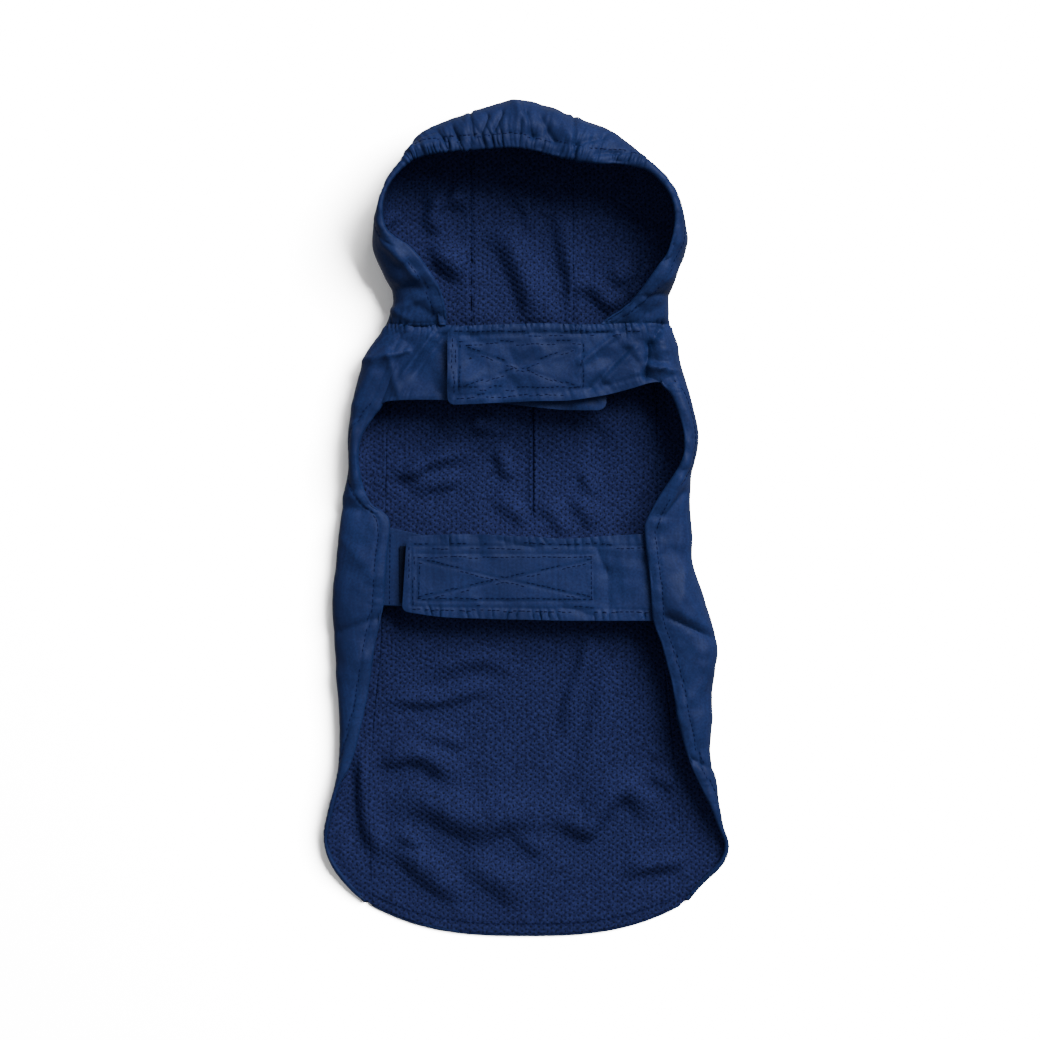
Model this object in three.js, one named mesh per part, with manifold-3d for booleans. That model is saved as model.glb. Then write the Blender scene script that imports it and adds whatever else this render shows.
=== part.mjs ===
// A hooded raincoat for a small dog, laid on its back on a table with its closures up.
// Millimetres. X runs across the coat, +Y towards the hood, +Z up from the table.
// The origin is on the table, under the middle of the coat.
import * as THREE from 'three';
import Module from 'manifold-3d';

const wasm = await Module();
wasm.setup();

// Driving dimensions.
const COAT_LENGTH = 439; // crown of the hood to the tail hem
const NECK_Y = 101; // the neck seam, where hood and body meet
const HOOD_CENTRE_Y = 140; // the hood's sections fan out from here
const SHELL_WALL = 1.2;
const LINING_WALL = 1.0;
const SEAM_GAP = 0.3; // between any two pieces
const TABLE_CLEAR = SHELL_WALL + SEAM_GAP / 2; // height of the surface that lies between shell and lining
const BACK_LENGTH = 305.5; // neck seam to the ends of the tail hem
const HEM_HALF_WIDTH = 81.5; // the tail hem between the side seams
const HEM_DROP = 16; // how far the tail hem bows out
const HEM_POWER = 2.8; // 2 is an even bow, more is fuller at the corners
const HEM_BOW_START = 0.55; // share of the back above which its rows run straight across
const TAPE_THICKNESS = 1.6; // hook tape and loop tape
const STRAP_THICKNESS = 1.5; // two layers of shell cloth
const GATHER_COUNT = 40; // along the elastic of the hood's brim
const GATHER_RISE = 1.1;
const PUCKER_RISE = 0.7; // ruffled edges of neck band and strap
const PUCKER_REACH = 0.12; // share of a band's width that an edge's ruffle reaches in
const BRIM_REACH = 0.6; // place on a hood section where the brim's gathers begin
const WALL_SQUARENESS = 2.2; // 2 is a quarter circle from table to side, more is squarer
const HOOD_SQUARENESS = 3.6;
const FLAT_SHARE = 0.06; // of a wall's curve that stays flat on the table beside its seam
const FOLD_AT = 0.55; // place of the fold along a section, from 0 at the table seam to 1 at the edge
const FOLD_ROUND = { up: 0.75, across: 0.12 }; // how far a section rises above its fold before it turns over
const EDGE_ROUND = { back: 0.45, crown: 0.06 }; // how it comes down to its edge
const FOLD_MARGIN = 7; // no fold of the back's lining comes nearer to a side seam
const END_MARGIN = 6; // nor to neck seam and hem
const FOLD_FADE = 14; // over which the folds die away there
const HOOD_SEAM_LEFT = -29; // the hood's centre panel lies between these two
const HOOD_SEAM_RIGHT = 25;

// Side seams, from the neck down to the hem.
const SIDE_SEAM = {
  left: [
    { y: 101, x: -60 }, { y: 82, x: -67 }, { y: 60, x: -72 }, { y: 40, x: -74 }, { y: -20, x: -75 },
    { y: -70, x: -77 }, { y: -110, x: -81 }, { y: -150, x: -83.5 }, { y: -204.5, x: -81.5 },
  ],
  right: [
    { y: 101, x: 63 }, { y: 82, x: 66.5 }, { y: 60, x: 69 }, { y: 40, x: 69.5 }, { y: -20, x: 69.5 },
    { y: -70, x: 72.5 }, { y: -110, x: 76.5 }, { y: -150, x: 81 }, { y: -204.5, x: 81.5 },
  ],
};

// Sections of the two side panels, from the neck to the hem. A section leaves its side seam at seamY,
// stands up to the fold, the coat's outline from above, and turns over to the free edge.
const SIDE_SECTIONS = {
  left: [
    { seamY: 101, foldX: -74, foldY: 101, foldZ: 11, edgeX: -58, edgeY: 101, edgeZ: 20 },
    { seamY: 91, foldX: -81, foldY: 91, foldZ: 11, edgeX: -62.5, edgeY: 91, edgeZ: 20 },
    { seamY: 82, foldX: -86, foldY: 82, foldZ: 11, edgeX: -67, edgeY: 81, edgeZ: 19.5 },
    { seamY: 60, foldX: -91, foldY: 62, foldZ: 10, edgeX: -76, edgeY: 60, edgeZ: 18.5 },
    { seamY: 54, foldX: -92.5, foldY: 54, foldZ: 10, edgeX: -81, edgeY: 53, edgeZ: 18 },
    { seamY: 40, foldX: -94, foldY: 41, foldZ: 10, edgeX: -88, edgeY: 41, edgeZ: 17.5 },
    { seamY: 25, foldX: -93.5, foldY: 25, foldZ: 9, edgeX: -89, edgeY: 25, edgeZ: 16.5 },
    { seamY: 9, foldX: -97, foldY: 9, foldZ: 8, edgeX: -83, edgeY: 8, edgeZ: 15 },
    { seamY: -2, foldX: -98, foldY: -2, foldZ: 8, edgeX: -73, edgeY: -1.5, edgeZ: 14.5 },
    { seamY: -20, foldX: -100, foldY: -22, foldZ: 7.5, edgeX: -74.5, edgeY: -22, edgeZ: 14.5 },
    { seamY: -39, foldX: -102, foldY: -39, foldZ: 7.5, edgeX: -75.5, edgeY: -39, edgeZ: 14.5 },
    { seamY: -50, foldX: -102, foldY: -50, foldZ: 7.5, edgeX: -76.5, edgeY: -50, edgeZ: 14 },
    { seamY: -70, foldX: -101, foldY: -70, foldZ: 7, edgeX: -81, edgeY: -70, edgeZ: 13 },
    { seamY: -91, foldX: -99.5, foldY: -91, foldZ: 7, edgeX: -84, edgeY: -91, edgeZ: 12.5 },
    { seamY: -110, foldX: -98.5, foldY: -110, foldZ: 7, edgeX: -88, edgeY: -110, edgeZ: 12 },
    { seamY: -129, foldX: -99, foldY: -129, foldZ: 7, edgeX: -93, edgeY: -129, edgeZ: 11.5 },
    { seamY: -142, foldX: -101, foldY: -142, foldZ: 7, edgeX: -99.5, edgeY: -142, edgeZ: 11 },
    { seamY: -150, foldX: -104.5, foldY: -156, foldZ: 6, edgeX: -103.2, edgeY: -156, edgeZ: 9.5 },
    { seamY: -166, foldX: -107, foldY: -168, foldZ: 5, edgeX: -105.5, edgeY: -167.5, edgeZ: 8.5 },
    { seamY: -178, foldX: -105.3, foldY: -177.5, foldZ: 4.5, edgeX: -104, edgeY: -177, edgeZ: 7.5 },
    { seamY: -188, foldX: -100.2, foldY: -187.5, foldZ: 4, edgeX: -99, edgeY: -186.5, edgeZ: 6 },
    { seamY: -197, foldX: -92.5, foldY: -197, foldZ: 3.2, edgeX: -91.5, edgeY: -196, edgeZ: 4.6 },
    { seamY: -204.5, foldX: -85.5, foldY: -202, foldZ: 2.4, edgeX: -84.5, edgeY: -202.6, edgeZ: 2.8 },
  ],
  right: [
    { seamY: 101, foldX: 76, foldY: 101, foldZ: 14, edgeX: 61.5, edgeY: 101, edgeZ: 27 },
    { seamY: 91, foldX: 79.5, foldY: 91, foldZ: 14.5, edgeX: 65, edgeY: 91, edgeZ: 28 },
    { seamY: 82, foldX: 81, foldY: 82, foldZ: 15, edgeX: 67.5, edgeY: 81.5, edgeZ: 28.5 },
    { seamY: 72, foldX: 83.5, foldY: 72, foldZ: 15.5, edgeX: 71, edgeY: 70.5, edgeZ: 29 },
    { seamY: 60, foldX: 85.5, foldY: 64, foldZ: 16, edgeX: 77, edgeY: 63.5, edgeZ: 30 },
    { seamY: 51, foldX: 89, foldY: 51, foldZ: 16, edgeX: 81.5, edgeY: 51, edgeZ: 31 },
    { seamY: 40, foldX: 90.5, foldY: 40, foldZ: 16, edgeX: 83.5, edgeY: 40, edgeZ: 31 },
    { seamY: 30, foldX: 89, foldY: 30, foldZ: 16, edgeX: 82.5, edgeY: 30, edgeZ: 31 },
    { seamY: 22, foldX: 87, foldY: 22, foldZ: 15.5, edgeX: 78, edgeY: 22, edgeZ: 30 },
    { seamY: 12, foldX: 86.5, foldY: 12, foldZ: 15, edgeX: 70.5, edgeY: 11, edgeZ: 28.5 },
    { seamY: 0, foldX: 86.5, foldY: 0, foldZ: 14, edgeX: 64, edgeY: -1, edgeZ: 27 },
    { seamY: -8, foldX: 87, foldY: -8, foldZ: 13.5, edgeX: 63, edgeY: -8, edgeZ: 26 },
    { seamY: -20, foldX: 87, foldY: -22, foldZ: 13, edgeX: 64.5, edgeY: -22, edgeZ: 25.5 },
    { seamY: -38, foldX: 92.5, foldY: -38, foldZ: 12.5, edgeX: 66, edgeY: -38, edgeZ: 25.5 },
    { seamY: -54, foldX: 97.5, foldY: -54, foldZ: 12, edgeX: 67.5, edgeY: -54, edgeZ: 25 },
    { seamY: -70, foldX: 100.5, foldY: -67, foldZ: 11.5, edgeX: 72, edgeY: -67, edgeZ: 23 },
    { seamY: -86, foldX: 98.5, foldY: -86, foldZ: 11, edgeX: 77, edgeY: -86, edgeZ: 21 },
    { seamY: -110, foldX: 98, foldY: -107, foldZ: 10.5, edgeX: 81, edgeY: -107, edgeZ: 19.5 },
    { seamY: -126, foldX: 97.5, foldY: -126, foldZ: 10, edgeX: 86, edgeY: -126, edgeZ: 18 },
    { seamY: -139, foldX: 100.5, foldY: -139, foldZ: 9.5, edgeX: 91, edgeY: -138, edgeZ: 16.5 },
    { seamY: -150, foldX: 102, foldY: -152, foldZ: 8.5, edgeX: 98, edgeY: -152, edgeZ: 14.5 },
    { seamY: -162, foldX: 104, foldY: -163, foldZ: 7.5, edgeX: 102, edgeY: -163, edgeZ: 12 },
    { seamY: -174, foldX: 107, foldY: -173, foldZ: 6, edgeX: 105.4, edgeY: -172.5, edgeZ: 9.5 },
    { seamY: -184, foldX: 103.5, foldY: -183, foldZ: 5, edgeX: 102.3, edgeY: -182, edgeZ: 8 },
    { seamY: -195, foldX: 93.5, foldY: -193.5, foldZ: 3.8, edgeX: 92.3, edgeY: -192.6, edgeZ: 5.4 },
    { seamY: -204.5, foldX: 86, foldY: -201, foldZ: 2.4, edgeX: 85, edgeY: -201.8, edgeZ: 2.8 },
  ],
};

// Section rows from the neck to the root of each neck band: the band grows out of their free edges.
const BAND_ROOT_ROWS = { left: 3, right: 3 };

// The neck bands, from root to end: the points of the top and bottom edges, and the height.
const NECK_BAND = {
  left: [
    { topX: -58, topY: 101, bottomX: -76, bottomY: 60, z: 19.5 },
    { topX: -50, topY: 101, bottomX: -70, bottomY: 61, z: 20.8 },
    { topX: -42, topY: 100.5, bottomX: -62, bottomY: 61.5, z: 21.6 },
    { topX: -29, topY: 100, bottomX: -47, bottomY: 61.5, z: 22.2 },
    { topX: -10, topY: 99, bottomX: -27, bottomY: 60.5, z: 22.5 },
    { topX: 8, topY: 98.5, bottomX: -7, bottomY: 59, z: 22.5 },
    { topX: 25, topY: 98, bottomX: 16, bottomY: 56.5, z: 22.5 },
    { topX: 41, topY: 97, bottomX: 42, bottomY: 56, z: 22.5 },
  ],
  right: [
    { topX: 61.5, topY: 101, bottomX: 71, bottomY: 70.5, z: 28.5 },
    { topX: 51, topY: 101, bottomX: 64.5, bottomY: 70, z: 28.3 },
    { topX: 38.5, topY: 100.5, bottomX: 54, bottomY: 67, z: 28 },
    { topX: 25, topY: 100.5, bottomX: 40, bottomY: 63.5, z: 27.8 },
    { topX: 8, topY: 101, bottomX: 22, bottomY: 61, z: 27.8 },
    { topX: -9, topY: 100.5, bottomX: 0, bottomY: 60.5, z: 27.8 },
    { topX: -25, topY: 100, bottomX: -21, bottomY: 59.5, z: 27.8 },
    { topX: -41, topY: 99, bottomX: -41, bottomY: 58.5, z: 27.8 },
  ],
};

// Sections of the hood, from the left of the neck seam round the crown to the right of it.
const HOOD_SECTIONS = [
  { originY: 101, foldX: -74, foldY: 101, foldZ: 11, edgeX: -42, edgeY: 101, edgeZ: 22 },
  { originY: 114, foldX: -70, foldY: 112, foldZ: 13, edgeX: -43.5, edgeY: 110, edgeZ: 26 },
  { originY: 127, foldX: -73, foldY: 123, foldZ: 16, edgeX: -47, edgeY: 121, edgeZ: 30 },
  { originY: 140, foldX: -80, foldY: 140, foldZ: 18, edgeX: -60, edgeY: 139, edgeZ: 34 },
  { originY: 140, foldX: -80, foldY: 151.5, foldZ: 20, edgeX: -73, edgeY: 149, edgeZ: 36 },
  { originY: 140, foldX: -77.3, foldY: 164, foldZ: 22, edgeX: -75.5, edgeY: 163, edgeZ: 38 },
  { originY: 140, foldX: -72.5, foldY: 177.5, foldZ: 22, edgeX: -70.5, edgeY: 175.5, edgeZ: 37 },
  { originY: 140, foldX: -65, foldY: 187, foldZ: 21, edgeX: -62, edgeY: 184.5, edgeZ: 36 },
  { originY: 140, foldX: -60, foldY: 196.5, foldZ: 20, edgeX: -57, edgeY: 187.5, edgeZ: 36.5 },
  { originY: 140, foldX: -52, foldY: 203, foldZ: 20, edgeX: -46.5, edgeY: 190, edgeZ: 38 },
  { originY: 140, foldX: -31, foldY: 211, foldZ: 20, edgeX: -25, edgeY: 191.5, edgeZ: 40 },
  { originY: 140, foldX: -4.5, foldY: 218, foldZ: 20, edgeX: -4, edgeY: 192, edgeZ: 42 },
  { originY: 140, foldX: 24, foldY: 210, foldZ: 20, edgeX: 18.5, edgeY: 187, edgeZ: 43 },
  { originY: 140, foldX: 44, foldY: 202, foldZ: 21, edgeX: 36, edgeY: 184, edgeZ: 43 },
  { originY: 140, foldX: 57.5, foldY: 191.5, foldZ: 22, edgeX: 52.5, edgeY: 183, edgeZ: 42 },
  { originY: 140, foldX: 66.5, foldY: 181.5, foldZ: 23, edgeX: 65.5, edgeY: 179.5, edgeZ: 42 },
  { originY: 140, foldX: 77.5, foldY: 170.5, foldZ: 24, edgeX: 74.7, edgeY: 168.5, edgeZ: 42 },
  { originY: 140, foldX: 82.5, foldY: 156, foldZ: 24, edgeX: 78, edgeY: 155.5, edgeZ: 42 },
  { originY: 140, foldX: 84, foldY: 142, foldZ: 23, edgeX: 74.5, edgeY: 139.5, edgeZ: 41 },
  { originY: 127, foldX: 78, foldY: 124.5, foldZ: 20, edgeX: 64.5, edgeY: 123, edgeZ: 37 },
  { originY: 114, foldX: 75, foldY: 113, foldZ: 16, edgeX: 54, edgeY: 111, edgeZ: 32 },
  { originY: 101, foldX: 76, foldY: 101, foldZ: 14, edgeX: 38.5, edgeY: 101, edgeZ: 28 },
];
const BRIM_FIRST = 7; // rows of HOOD_SECTIONS between which the edge is gathered on elastic
const BRIM_LAST = 15;

// The two parts of the belly closure, from left to right: the edges nearer neck and tail, and the height.
const BELLY_STRAP = [
  { topX: -62.5, topY: -10, bottomX: -65, bottomY: -49, z: 18.8 },
  { topX: -45, topY: -9, bottomX: -45, bottomY: -52, z: 19.3 },
  { topX: -22, topY: -9, bottomX: -22, bottomY: -53, z: 19.9 },
  { topX: 0, topY: -10, bottomX: 0, bottomY: -53.5, z: 20.3 },
  { topX: 22, topY: -11, bottomX: 22, bottomY: -54, z: 20.8 },
  { topX: 45, topY: -9.5, bottomX: 46, bottomY: -54, z: 21.6 },
  { topX: 72, topY: -8, bottomX: 75, bottomY: -54, z: 22.6 },
];
const BELLY_UNDERLAP = [
  { topX: -82, topY: -3, bottomX: -83, bottomY: -46, z: 11.6 },
  { topX: -66, topY: -6.5, bottomX: -67, bottomY: -46.5, z: 12.9 },
  { topX: -45, topY: -11, bottomX: -45, bottomY: -48, z: 13.7 },
  { topX: -22, topY: -12, bottomX: -22, bottomY: -50, z: 14.3 },
  { topX: 0, topY: -13, bottomX: 0, bottomY: -52, z: 14.7 },
  { topX: 22, topY: -14, bottomX: 22, bottomY: -54, z: 15.2 },
  { topX: 35, topY: -14, bottomX: 35, bottomY: -55, z: 15.6 },
];

// The tapes sewn to each closure: hook under the end on top, loop on the end below.
const TAPES = {
  neckHook: { left: -37, right: 30.5, bottom: 65.5, top: 93 },
  neckLoop: { left: -35, right: 34, bottom: 64, top: 92 },
  bellyHook: { left: -60, right: 35, bottom: -47, top: -19 },
  bellyLoop: { left: -69, right: 30, bottom: -44.5, top: -15 },
};

// Folds of the lining where it lies on the table: a soft ridge from one point to another.
const LINING_FOLDS = [
  { fromX: 29, fromY: -56, toX: 6, toY: -142, width: 9, lift: 2.8 },
  { fromX: 48, fromY: -60, toX: 32, toY: -136, width: 8, lift: 2.6 },
  { fromX: -62, fromY: -74, toX: 6, toY: -70, width: 9, lift: 2.0 },
  { fromX: -68, fromY: -108, toX: -12, toY: -114, width: 8, lift: 2.6 },
  { fromX: -70, fromY: -148, toX: -4, toY: -160, width: 7, lift: 2.8 },
  { fromX: -44, fromY: -188, toX: 38, toY: -186, width: 9, lift: 2.2 },
  { fromX: 36, fromY: -172, toX: 68, toY: -142, width: 7, lift: 2.8 },
  { fromX: -72, fromY: -172, toX: -60, toY: -192, width: 7, lift: 3.4 },
  { fromX: -60, fromY: -192, toX: -28, toY: -206, width: 7, lift: 2.2 },
  { fromX: 44, fromY: -198, toX: 74, toY: -190, width: 7, lift: 2.0 },
  { fromX: -66, fromY: 8, toX: -24, toY: 28, width: 7, lift: 3.0 },
  { fromX: -66, fromY: 22, toX: -44, toY: 36, width: 7, lift: 2.0 },
  { fromX: -34, fromY: 58, toX: 10, toY: 44, width: 7, lift: 2.4 },
  { fromX: 18, fromY: -2, toX: 56, toY: 8, width: 7, lift: 2.2 },
];
const HOOD_LINING_FOLDS = [
  { fromX: -14, fromY: 152, toX: 8, toY: 106, width: 7, lift: 3.0 },
  { fromX: 14, fromY: 166, toX: 24, toY: 108, width: 6, lift: 2.4 },
  { fromX: -52, fromY: 156, toX: -40, toY: 132, width: 6, lift: 2.6 },
  { fromX: 52, fromY: 124, toX: 36, toY: 106, width: 6, lift: 3.2 },
];
const BACK_DART = { fromX: 2, fromY: 100, toX: 2, toY: 6, width: 1.6, lift: 1.6 };

// Value of a smooth curve through the rows' numbers at row position t.
function alongRows(values, t) {
  const last = values.length - 1;
  const i = Math.min(Math.max(Math.floor(t), 0), last - 1);
  const f = t - i;
  const [a, b, c, d] = [i - 1, i, i + 1, i + 2].map((k) => values[Math.min(Math.max(k, 0), last)]);
  return b + 0.5 * f * (c - a + f * (2 * a - 5 * b + 4 * c - d + f * (3 * (b - c) + d - a)));
}

// One row of a table at row position t, every column interpolated.
function rowAt(table, t) {
  const names = Object.keys(table[0]);
  return Object.fromEntries(names.map((name) => [name, alongRows(table.map((row) => row[name]), t)]));
}

// X of a side seam at height y up the coat. It runs straight from row to row.
function seamX(side, y) {
  const rows = SIDE_SEAM[side];
  const i = Math.max(rows.findLastIndex((row) => row.y >= y), 0);
  const next = rows[Math.min(i + 1, rows.length - 1)];
  const share = rows[i].y === next.y ? 0 : (rows[i].y - y) / (rows[i].y - next.y);
  return THREE.MathUtils.lerp(rows[i].x, next.x, share);
}

// Point of a section at s: from start on the table, up to the fold at FOLD_AT, over to the edge at 1.
function sectionPoint(start, fold, edge, s, squareness) {
  if (s <= FOLD_AT) {
    const turn = (s / FOLD_AT) * Math.PI / 2;
    const out = Math.sin(turn) ** (2 / squareness);
    const up = Math.max(0, 1 - (1 + FLAT_SHARE) * Math.cos(turn) ** (2 / squareness));
    return new THREE.Vector3(
      THREE.MathUtils.lerp(start.x, fold.x, out),
      THREE.MathUtils.lerp(start.y, fold.y, out),
      THREE.MathUtils.lerp(start.z, fold.z, up),
    );
  }
  const across = Math.hypot(edge.x - fold.x, edge.y - fold.y);
  const rise = FOLD_ROUND.up * (edge.z - fold.z) + FOLD_ROUND.across * across;
  const over = new THREE.CubicBezierCurve3(
    fold,
    new THREE.Vector3(fold.x, fold.y, fold.z + rise),
    new THREE.Vector3(
      THREE.MathUtils.lerp(edge.x, fold.x, EDGE_ROUND.back),
      THREE.MathUtils.lerp(edge.y, fold.y, EDGE_ROUND.back),
      edge.z + EDGE_ROUND.crown * across,
    ),
    edge,
  );
  return over.getPoint((s - FOLD_AT) / (1 - FOLD_AT));
}

// The tables give the outside of the cloth: the surface between shell and lining is one shell wall inside it.
function insideOf(start, x, y, z) {
  const out = new THREE.Vector3(x - start.x, y - start.y, 0).normalize();
  return new THREE.Vector3(x, y, z).addScaledVector(out, -TABLE_CLEAR);
}

// Hood and body stop either side of the neck seam.
const belowNeck = (p) => p.setY(Math.min(p.y, NECK_Y - SEAM_GAP / 2));
const aboveNeck = (p) => p.setY(Math.max(p.y, NECK_Y + SEAM_GAP / 2));

function sidePoint(side, t, s) {
  const row = rowAt(SIDE_SECTIONS[side], t);
  const away = side === 'left' ? -SEAM_GAP / 2 : SEAM_GAP / 2;
  const start = new THREE.Vector3(seamX(side, row.seamY) + away, row.seamY, TABLE_CLEAR);
  const fold = insideOf(start, row.foldX, row.foldY, row.foldZ);
  const edge = new THREE.Vector3(row.edgeX, row.edgeY, row.edgeZ);
  return belowNeck(sectionPoint(start, fold, edge, s, WALL_SQUARENESS));
}

function hoodPoint(t, s) {
  const row = rowAt(HOOD_SECTIONS, t);
  // The line that the sections start from is straight, so that its two sides meet.
  const i = Math.min(Math.floor(t), HOOD_SECTIONS.length - 2);
  row.originY = THREE.MathUtils.lerp(HOOD_SECTIONS[i].originY, HOOD_SECTIONS[i + 1].originY, t - i);
  const start = new THREE.Vector3(0, row.originY, TABLE_CLEAR);
  const fold = insideOf(start, row.foldX, row.foldY, row.foldZ);
  const edge = new THREE.Vector3(row.edgeX, row.edgeY, row.edgeZ);
  return aboveNeck(sectionPoint(start, fold, edge, s, HOOD_SQUARENESS));
}

// A surface is a list of points and of triangles, with points that coincide merged.
class Surface {
  constructor() {
    this.points = [];
    this.triangles = [];
    this.known = new Map();
  }

  add(p) {
    const key = p.toArray().map((c) => Math.round(c * 500)).join();
    if (!this.known.has(key)) {
      this.known.set(key, this.points.length);
      this.points.push(p.clone());
    }
    return this.known.get(key);
  }

  // Joins rows of points into triangles. With turned, the outside is the other side.
  addGrid(rows, turned = false) {
    const index = rows.map((row) => row.map((p) => this.add(p)));
    for (let i = 0; i + 1 < index.length; i++) {
      for (let j = 0; j + 1 < index[i].length; j++) {
        const [a, b, c, d] = [index[i][j], index[i + 1][j], index[i + 1][j + 1], index[i][j + 1]];
        for (const [p, q, r] of [[a, b, c], [a, c, d]]) {
          if (p !== q && q !== r && r !== p) this.triangles.push(turned ? [p, r, q] : [p, q, r]);
        }
      }
    }
    return this;
  }

  normals() {
    const normals = this.points.map(() => new THREE.Vector3());
    const [u, v] = [new THREE.Vector3(), new THREE.Vector3()];
    for (const [a, b, c] of this.triangles) {
      u.subVectors(this.points[b], this.points[a]);
      v.subVectors(this.points[c], this.points[a]);
      u.cross(v);
      for (const k of [a, b, c]) normals[k].add(u);
    }
    // Along the neck seam the wall's end is kept in the seam's plane.
    normals.forEach((n, i) => {
      if (Math.abs(this.points[i].y - NECK_Y) < SEAM_GAP) n.y = 0;
    });
    return normals.map((n) => n.normalize());
  }

  // A closed wall between two distances from the surface. outer may be a function of the point.
  wall(inner, outer) {
    const normals = this.normals();
    const at = (p) => (typeof outer === 'function' ? outer(p) : outer);
    const out = this.points.map((p, i) => p.clone().addScaledVector(normals[i], at(p)));
    const back = this.points.map((p, i) => p.clone().addScaledVector(normals[i], inner));
    const count = this.points.length;
    const index = [];
    const open = new Map();
    for (const [a, b, c] of this.triangles) {
      index.push(a, b, c, c + count, b + count, a + count);
      for (const [p, q] of [[a, b], [b, c], [c, a]]) {
        if (!open.delete(`${q},${p}`)) open.set(`${p},${q}`, [p, q]);
      }
    }
    for (const [p, q] of open.values()) index.push(q, p, p + count, q, p + count, q + count);
    const geometry = new THREE.BufferGeometry();
    const numbers = [...out, ...back].flatMap((p) => p.toArray());
    geometry.setAttribute('position', new THREE.Float32BufferAttribute(numbers, 3));
    geometry.setIndex(index);
    return geometry;
  }
}

// Evenly spaced numbers from one to another, both ends included.
const steps = (from, to, count) => Array.from({ length: count + 1 }, (_, i) => from + ((to - from) * i) / count);

// Height of the folds at a point, each one fading towards its ends.
function foldLift(folds, x, y) {
  return folds.reduce((sum, f) => {
    const [dx, dy] = [f.toX - f.fromX, f.toY - f.fromY];
    const long = Math.hypot(dx, dy);
    const along = ((x - f.fromX) * dx + (y - f.fromY) * dy) / long;
    const aside = ((x - f.fromX) * dy - (y - f.fromY) * dx) / long;
    const end = Math.max(0, -along, along - long);
    return sum + f.lift * Math.exp(-((aside / f.width) ** 2) - (end / (1.6 * f.width)) ** 2);
  }, 0);
}

// 0 at the piece's edge, 1 from `reach` inside it.
const fade = (distance, reach) => THREE.MathUtils.smoothstep(distance, 0, reach);

// The back panel between the side seams, its rows bowing out towards the tail hem.
function backPoint(across, t) {
  const rows = SIDE_SEAM.left;
  const i = Math.min(Math.floor(t), rows.length - 2);
  const y = THREE.MathUtils.lerp(rows[i].y, rows[i + 1].y, t - i);
  const left = seamX('left', y) + SEAM_GAP / 2;
  const right = seamX('right', y) - SEAM_GAP / 2;
  const bow = HEM_DROP * (1 - Math.abs(2 * across - 1) ** HEM_POWER);
  const low = THREE.MathUtils.smoothstep(NECK_Y - y, HEM_BOW_START * BACK_LENGTH, BACK_LENGTH);
  return belowNeck(new THREE.Vector3(THREE.MathUtils.lerp(left, right, across), y - bow * low, TABLE_CLEAR));
}

function backSurface(columns, rowLength, folded) {
  const seam = SIDE_SEAM.left;
  const cuts = (i) => Math.max(1, Math.round((seam[i].y - seam[i + 1].y) / rowLength));
  const grid = rowPositions(seam.length - 1, cuts).map((t) => steps(0, 1, columns).map((across) => {
    const p = backPoint(across, t);
    if (folded) {
      const inside = fade(Math.min(across, 1 - across) * 2 * HEM_HALF_WIDTH - FOLD_MARGIN, FOLD_FADE);
      const fromNeck = fade(NECK_Y - p.y - END_MARGIN, FOLD_FADE);
      const fromHem = fade(p.y - (NECK_Y - BACK_LENGTH - HEM_DROP) - END_MARGIN, FOLD_FADE);
      p.z += inside * fromNeck * fromHem * foldLift([...LINING_FOLDS, BACK_DART], p.x, p.y);
    }
    return p;
  }));
  return new Surface().addGrid(grid, true);
}

// The strip of rows where two tables' sub-steps fall: each interval between rows is cut into its own count.
const rowPositions = (last, cuts) =>
  Array.from({ length: last }, (_, i) => steps(i, i + 1, cuts(i)).slice(i ? 1 : 0)).flat();

const SIDE_COLUMNS = steps(0, 1, 9);

function sideSurface(side, withBand) {
  const turned = side === 'right';
  const last = SIDE_SECTIONS[side].length - 1;
  const positions = rowPositions(last, (i) => (i < BAND_ROOT_ROWS[side] ? 2 : 1));
  const rows = positions.map((t) => SIDE_COLUMNS.map((s) => sidePoint(side, t, s)));
  const surface = new Surface().addGrid(rows, turned);
  if (withBand) surface.addGrid(bandRows(side, positions, rows), !turned);
  return surface;
}

// The neck band carries on from the free edges of the side panel's first rows.
function bandRows(side, positions, sideRows) {
  const root = positions.filter((t) => t <= BAND_ROOT_ROWS[side]).map((_, i) => sideRows[i].at(-1));
  const table = NECK_BAND[side];
  const drop = root[0].y - root.at(-1).y;
  const share = root.map((p) => (root[0].y - p.y) / drop);
  const first = rowAt(table, 0);
  const columns = rowPositions(table.length - 1, () => (side === 'right' ? 4 : 1));
  return columns.map((t, n) => {
    const row = rowAt(table, t);
    const keep = Math.max(0, 1 - t) ** 2;
    return share.map((b, i) => {
      const p = bandPoint(row, b);
      p.addScaledVector(root[i].clone().sub(bandPoint(first, b)), keep);
      if (side === 'right' && t > 1) p.z += pucker(n, b);
      return belowNeck(p);
    });
  });
}

// Point of a band or strap row at share b from its top edge to its bottom edge.
const bandPoint = (row, b) => new THREE.Vector3(
  THREE.MathUtils.lerp(row.topX, row.bottomX, b),
  THREE.MathUtils.lerp(row.topY, row.bottomY, b),
  row.z,
);

// The hood: sections round the crown, finer where the brim is gathered.
const HOOD_COLUMNS = [0, 0.12, 0.25, 0.36, 0.46, 0.55, 0.66, 0.78, 0.89, 1];

function hoodPositions(gatherCuts) {
  const cuts = (i) => (i >= BRIM_FIRST && i < BRIM_LAST ? gatherCuts : 2);
  return rowPositions(HOOD_SECTIONS.length - 1, cuts);
}

function hoodSurface(gatherCuts, folded) {
  const rows = hoodPositions(gatherCuts).map((t) => HOOD_COLUMNS.map((s) => {
    const p = hoodPoint(t, s);
    if (folded && s < FOLD_AT) {
      p.z += fade(p.y - NECK_Y, FOLD_FADE) * (1 - s / FOLD_AT) * foldLift(HOOD_LINING_FOLDS, p.x, p.y);
    }
    return p;
  }));
  return new Surface().addGrid(rows, true);
}

// Every second row of the gathered brim stands proud, most at the elastic edge.
const placeKey = (p) => p.toArray().map((c) => Math.round(c * 100)).join();

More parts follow.
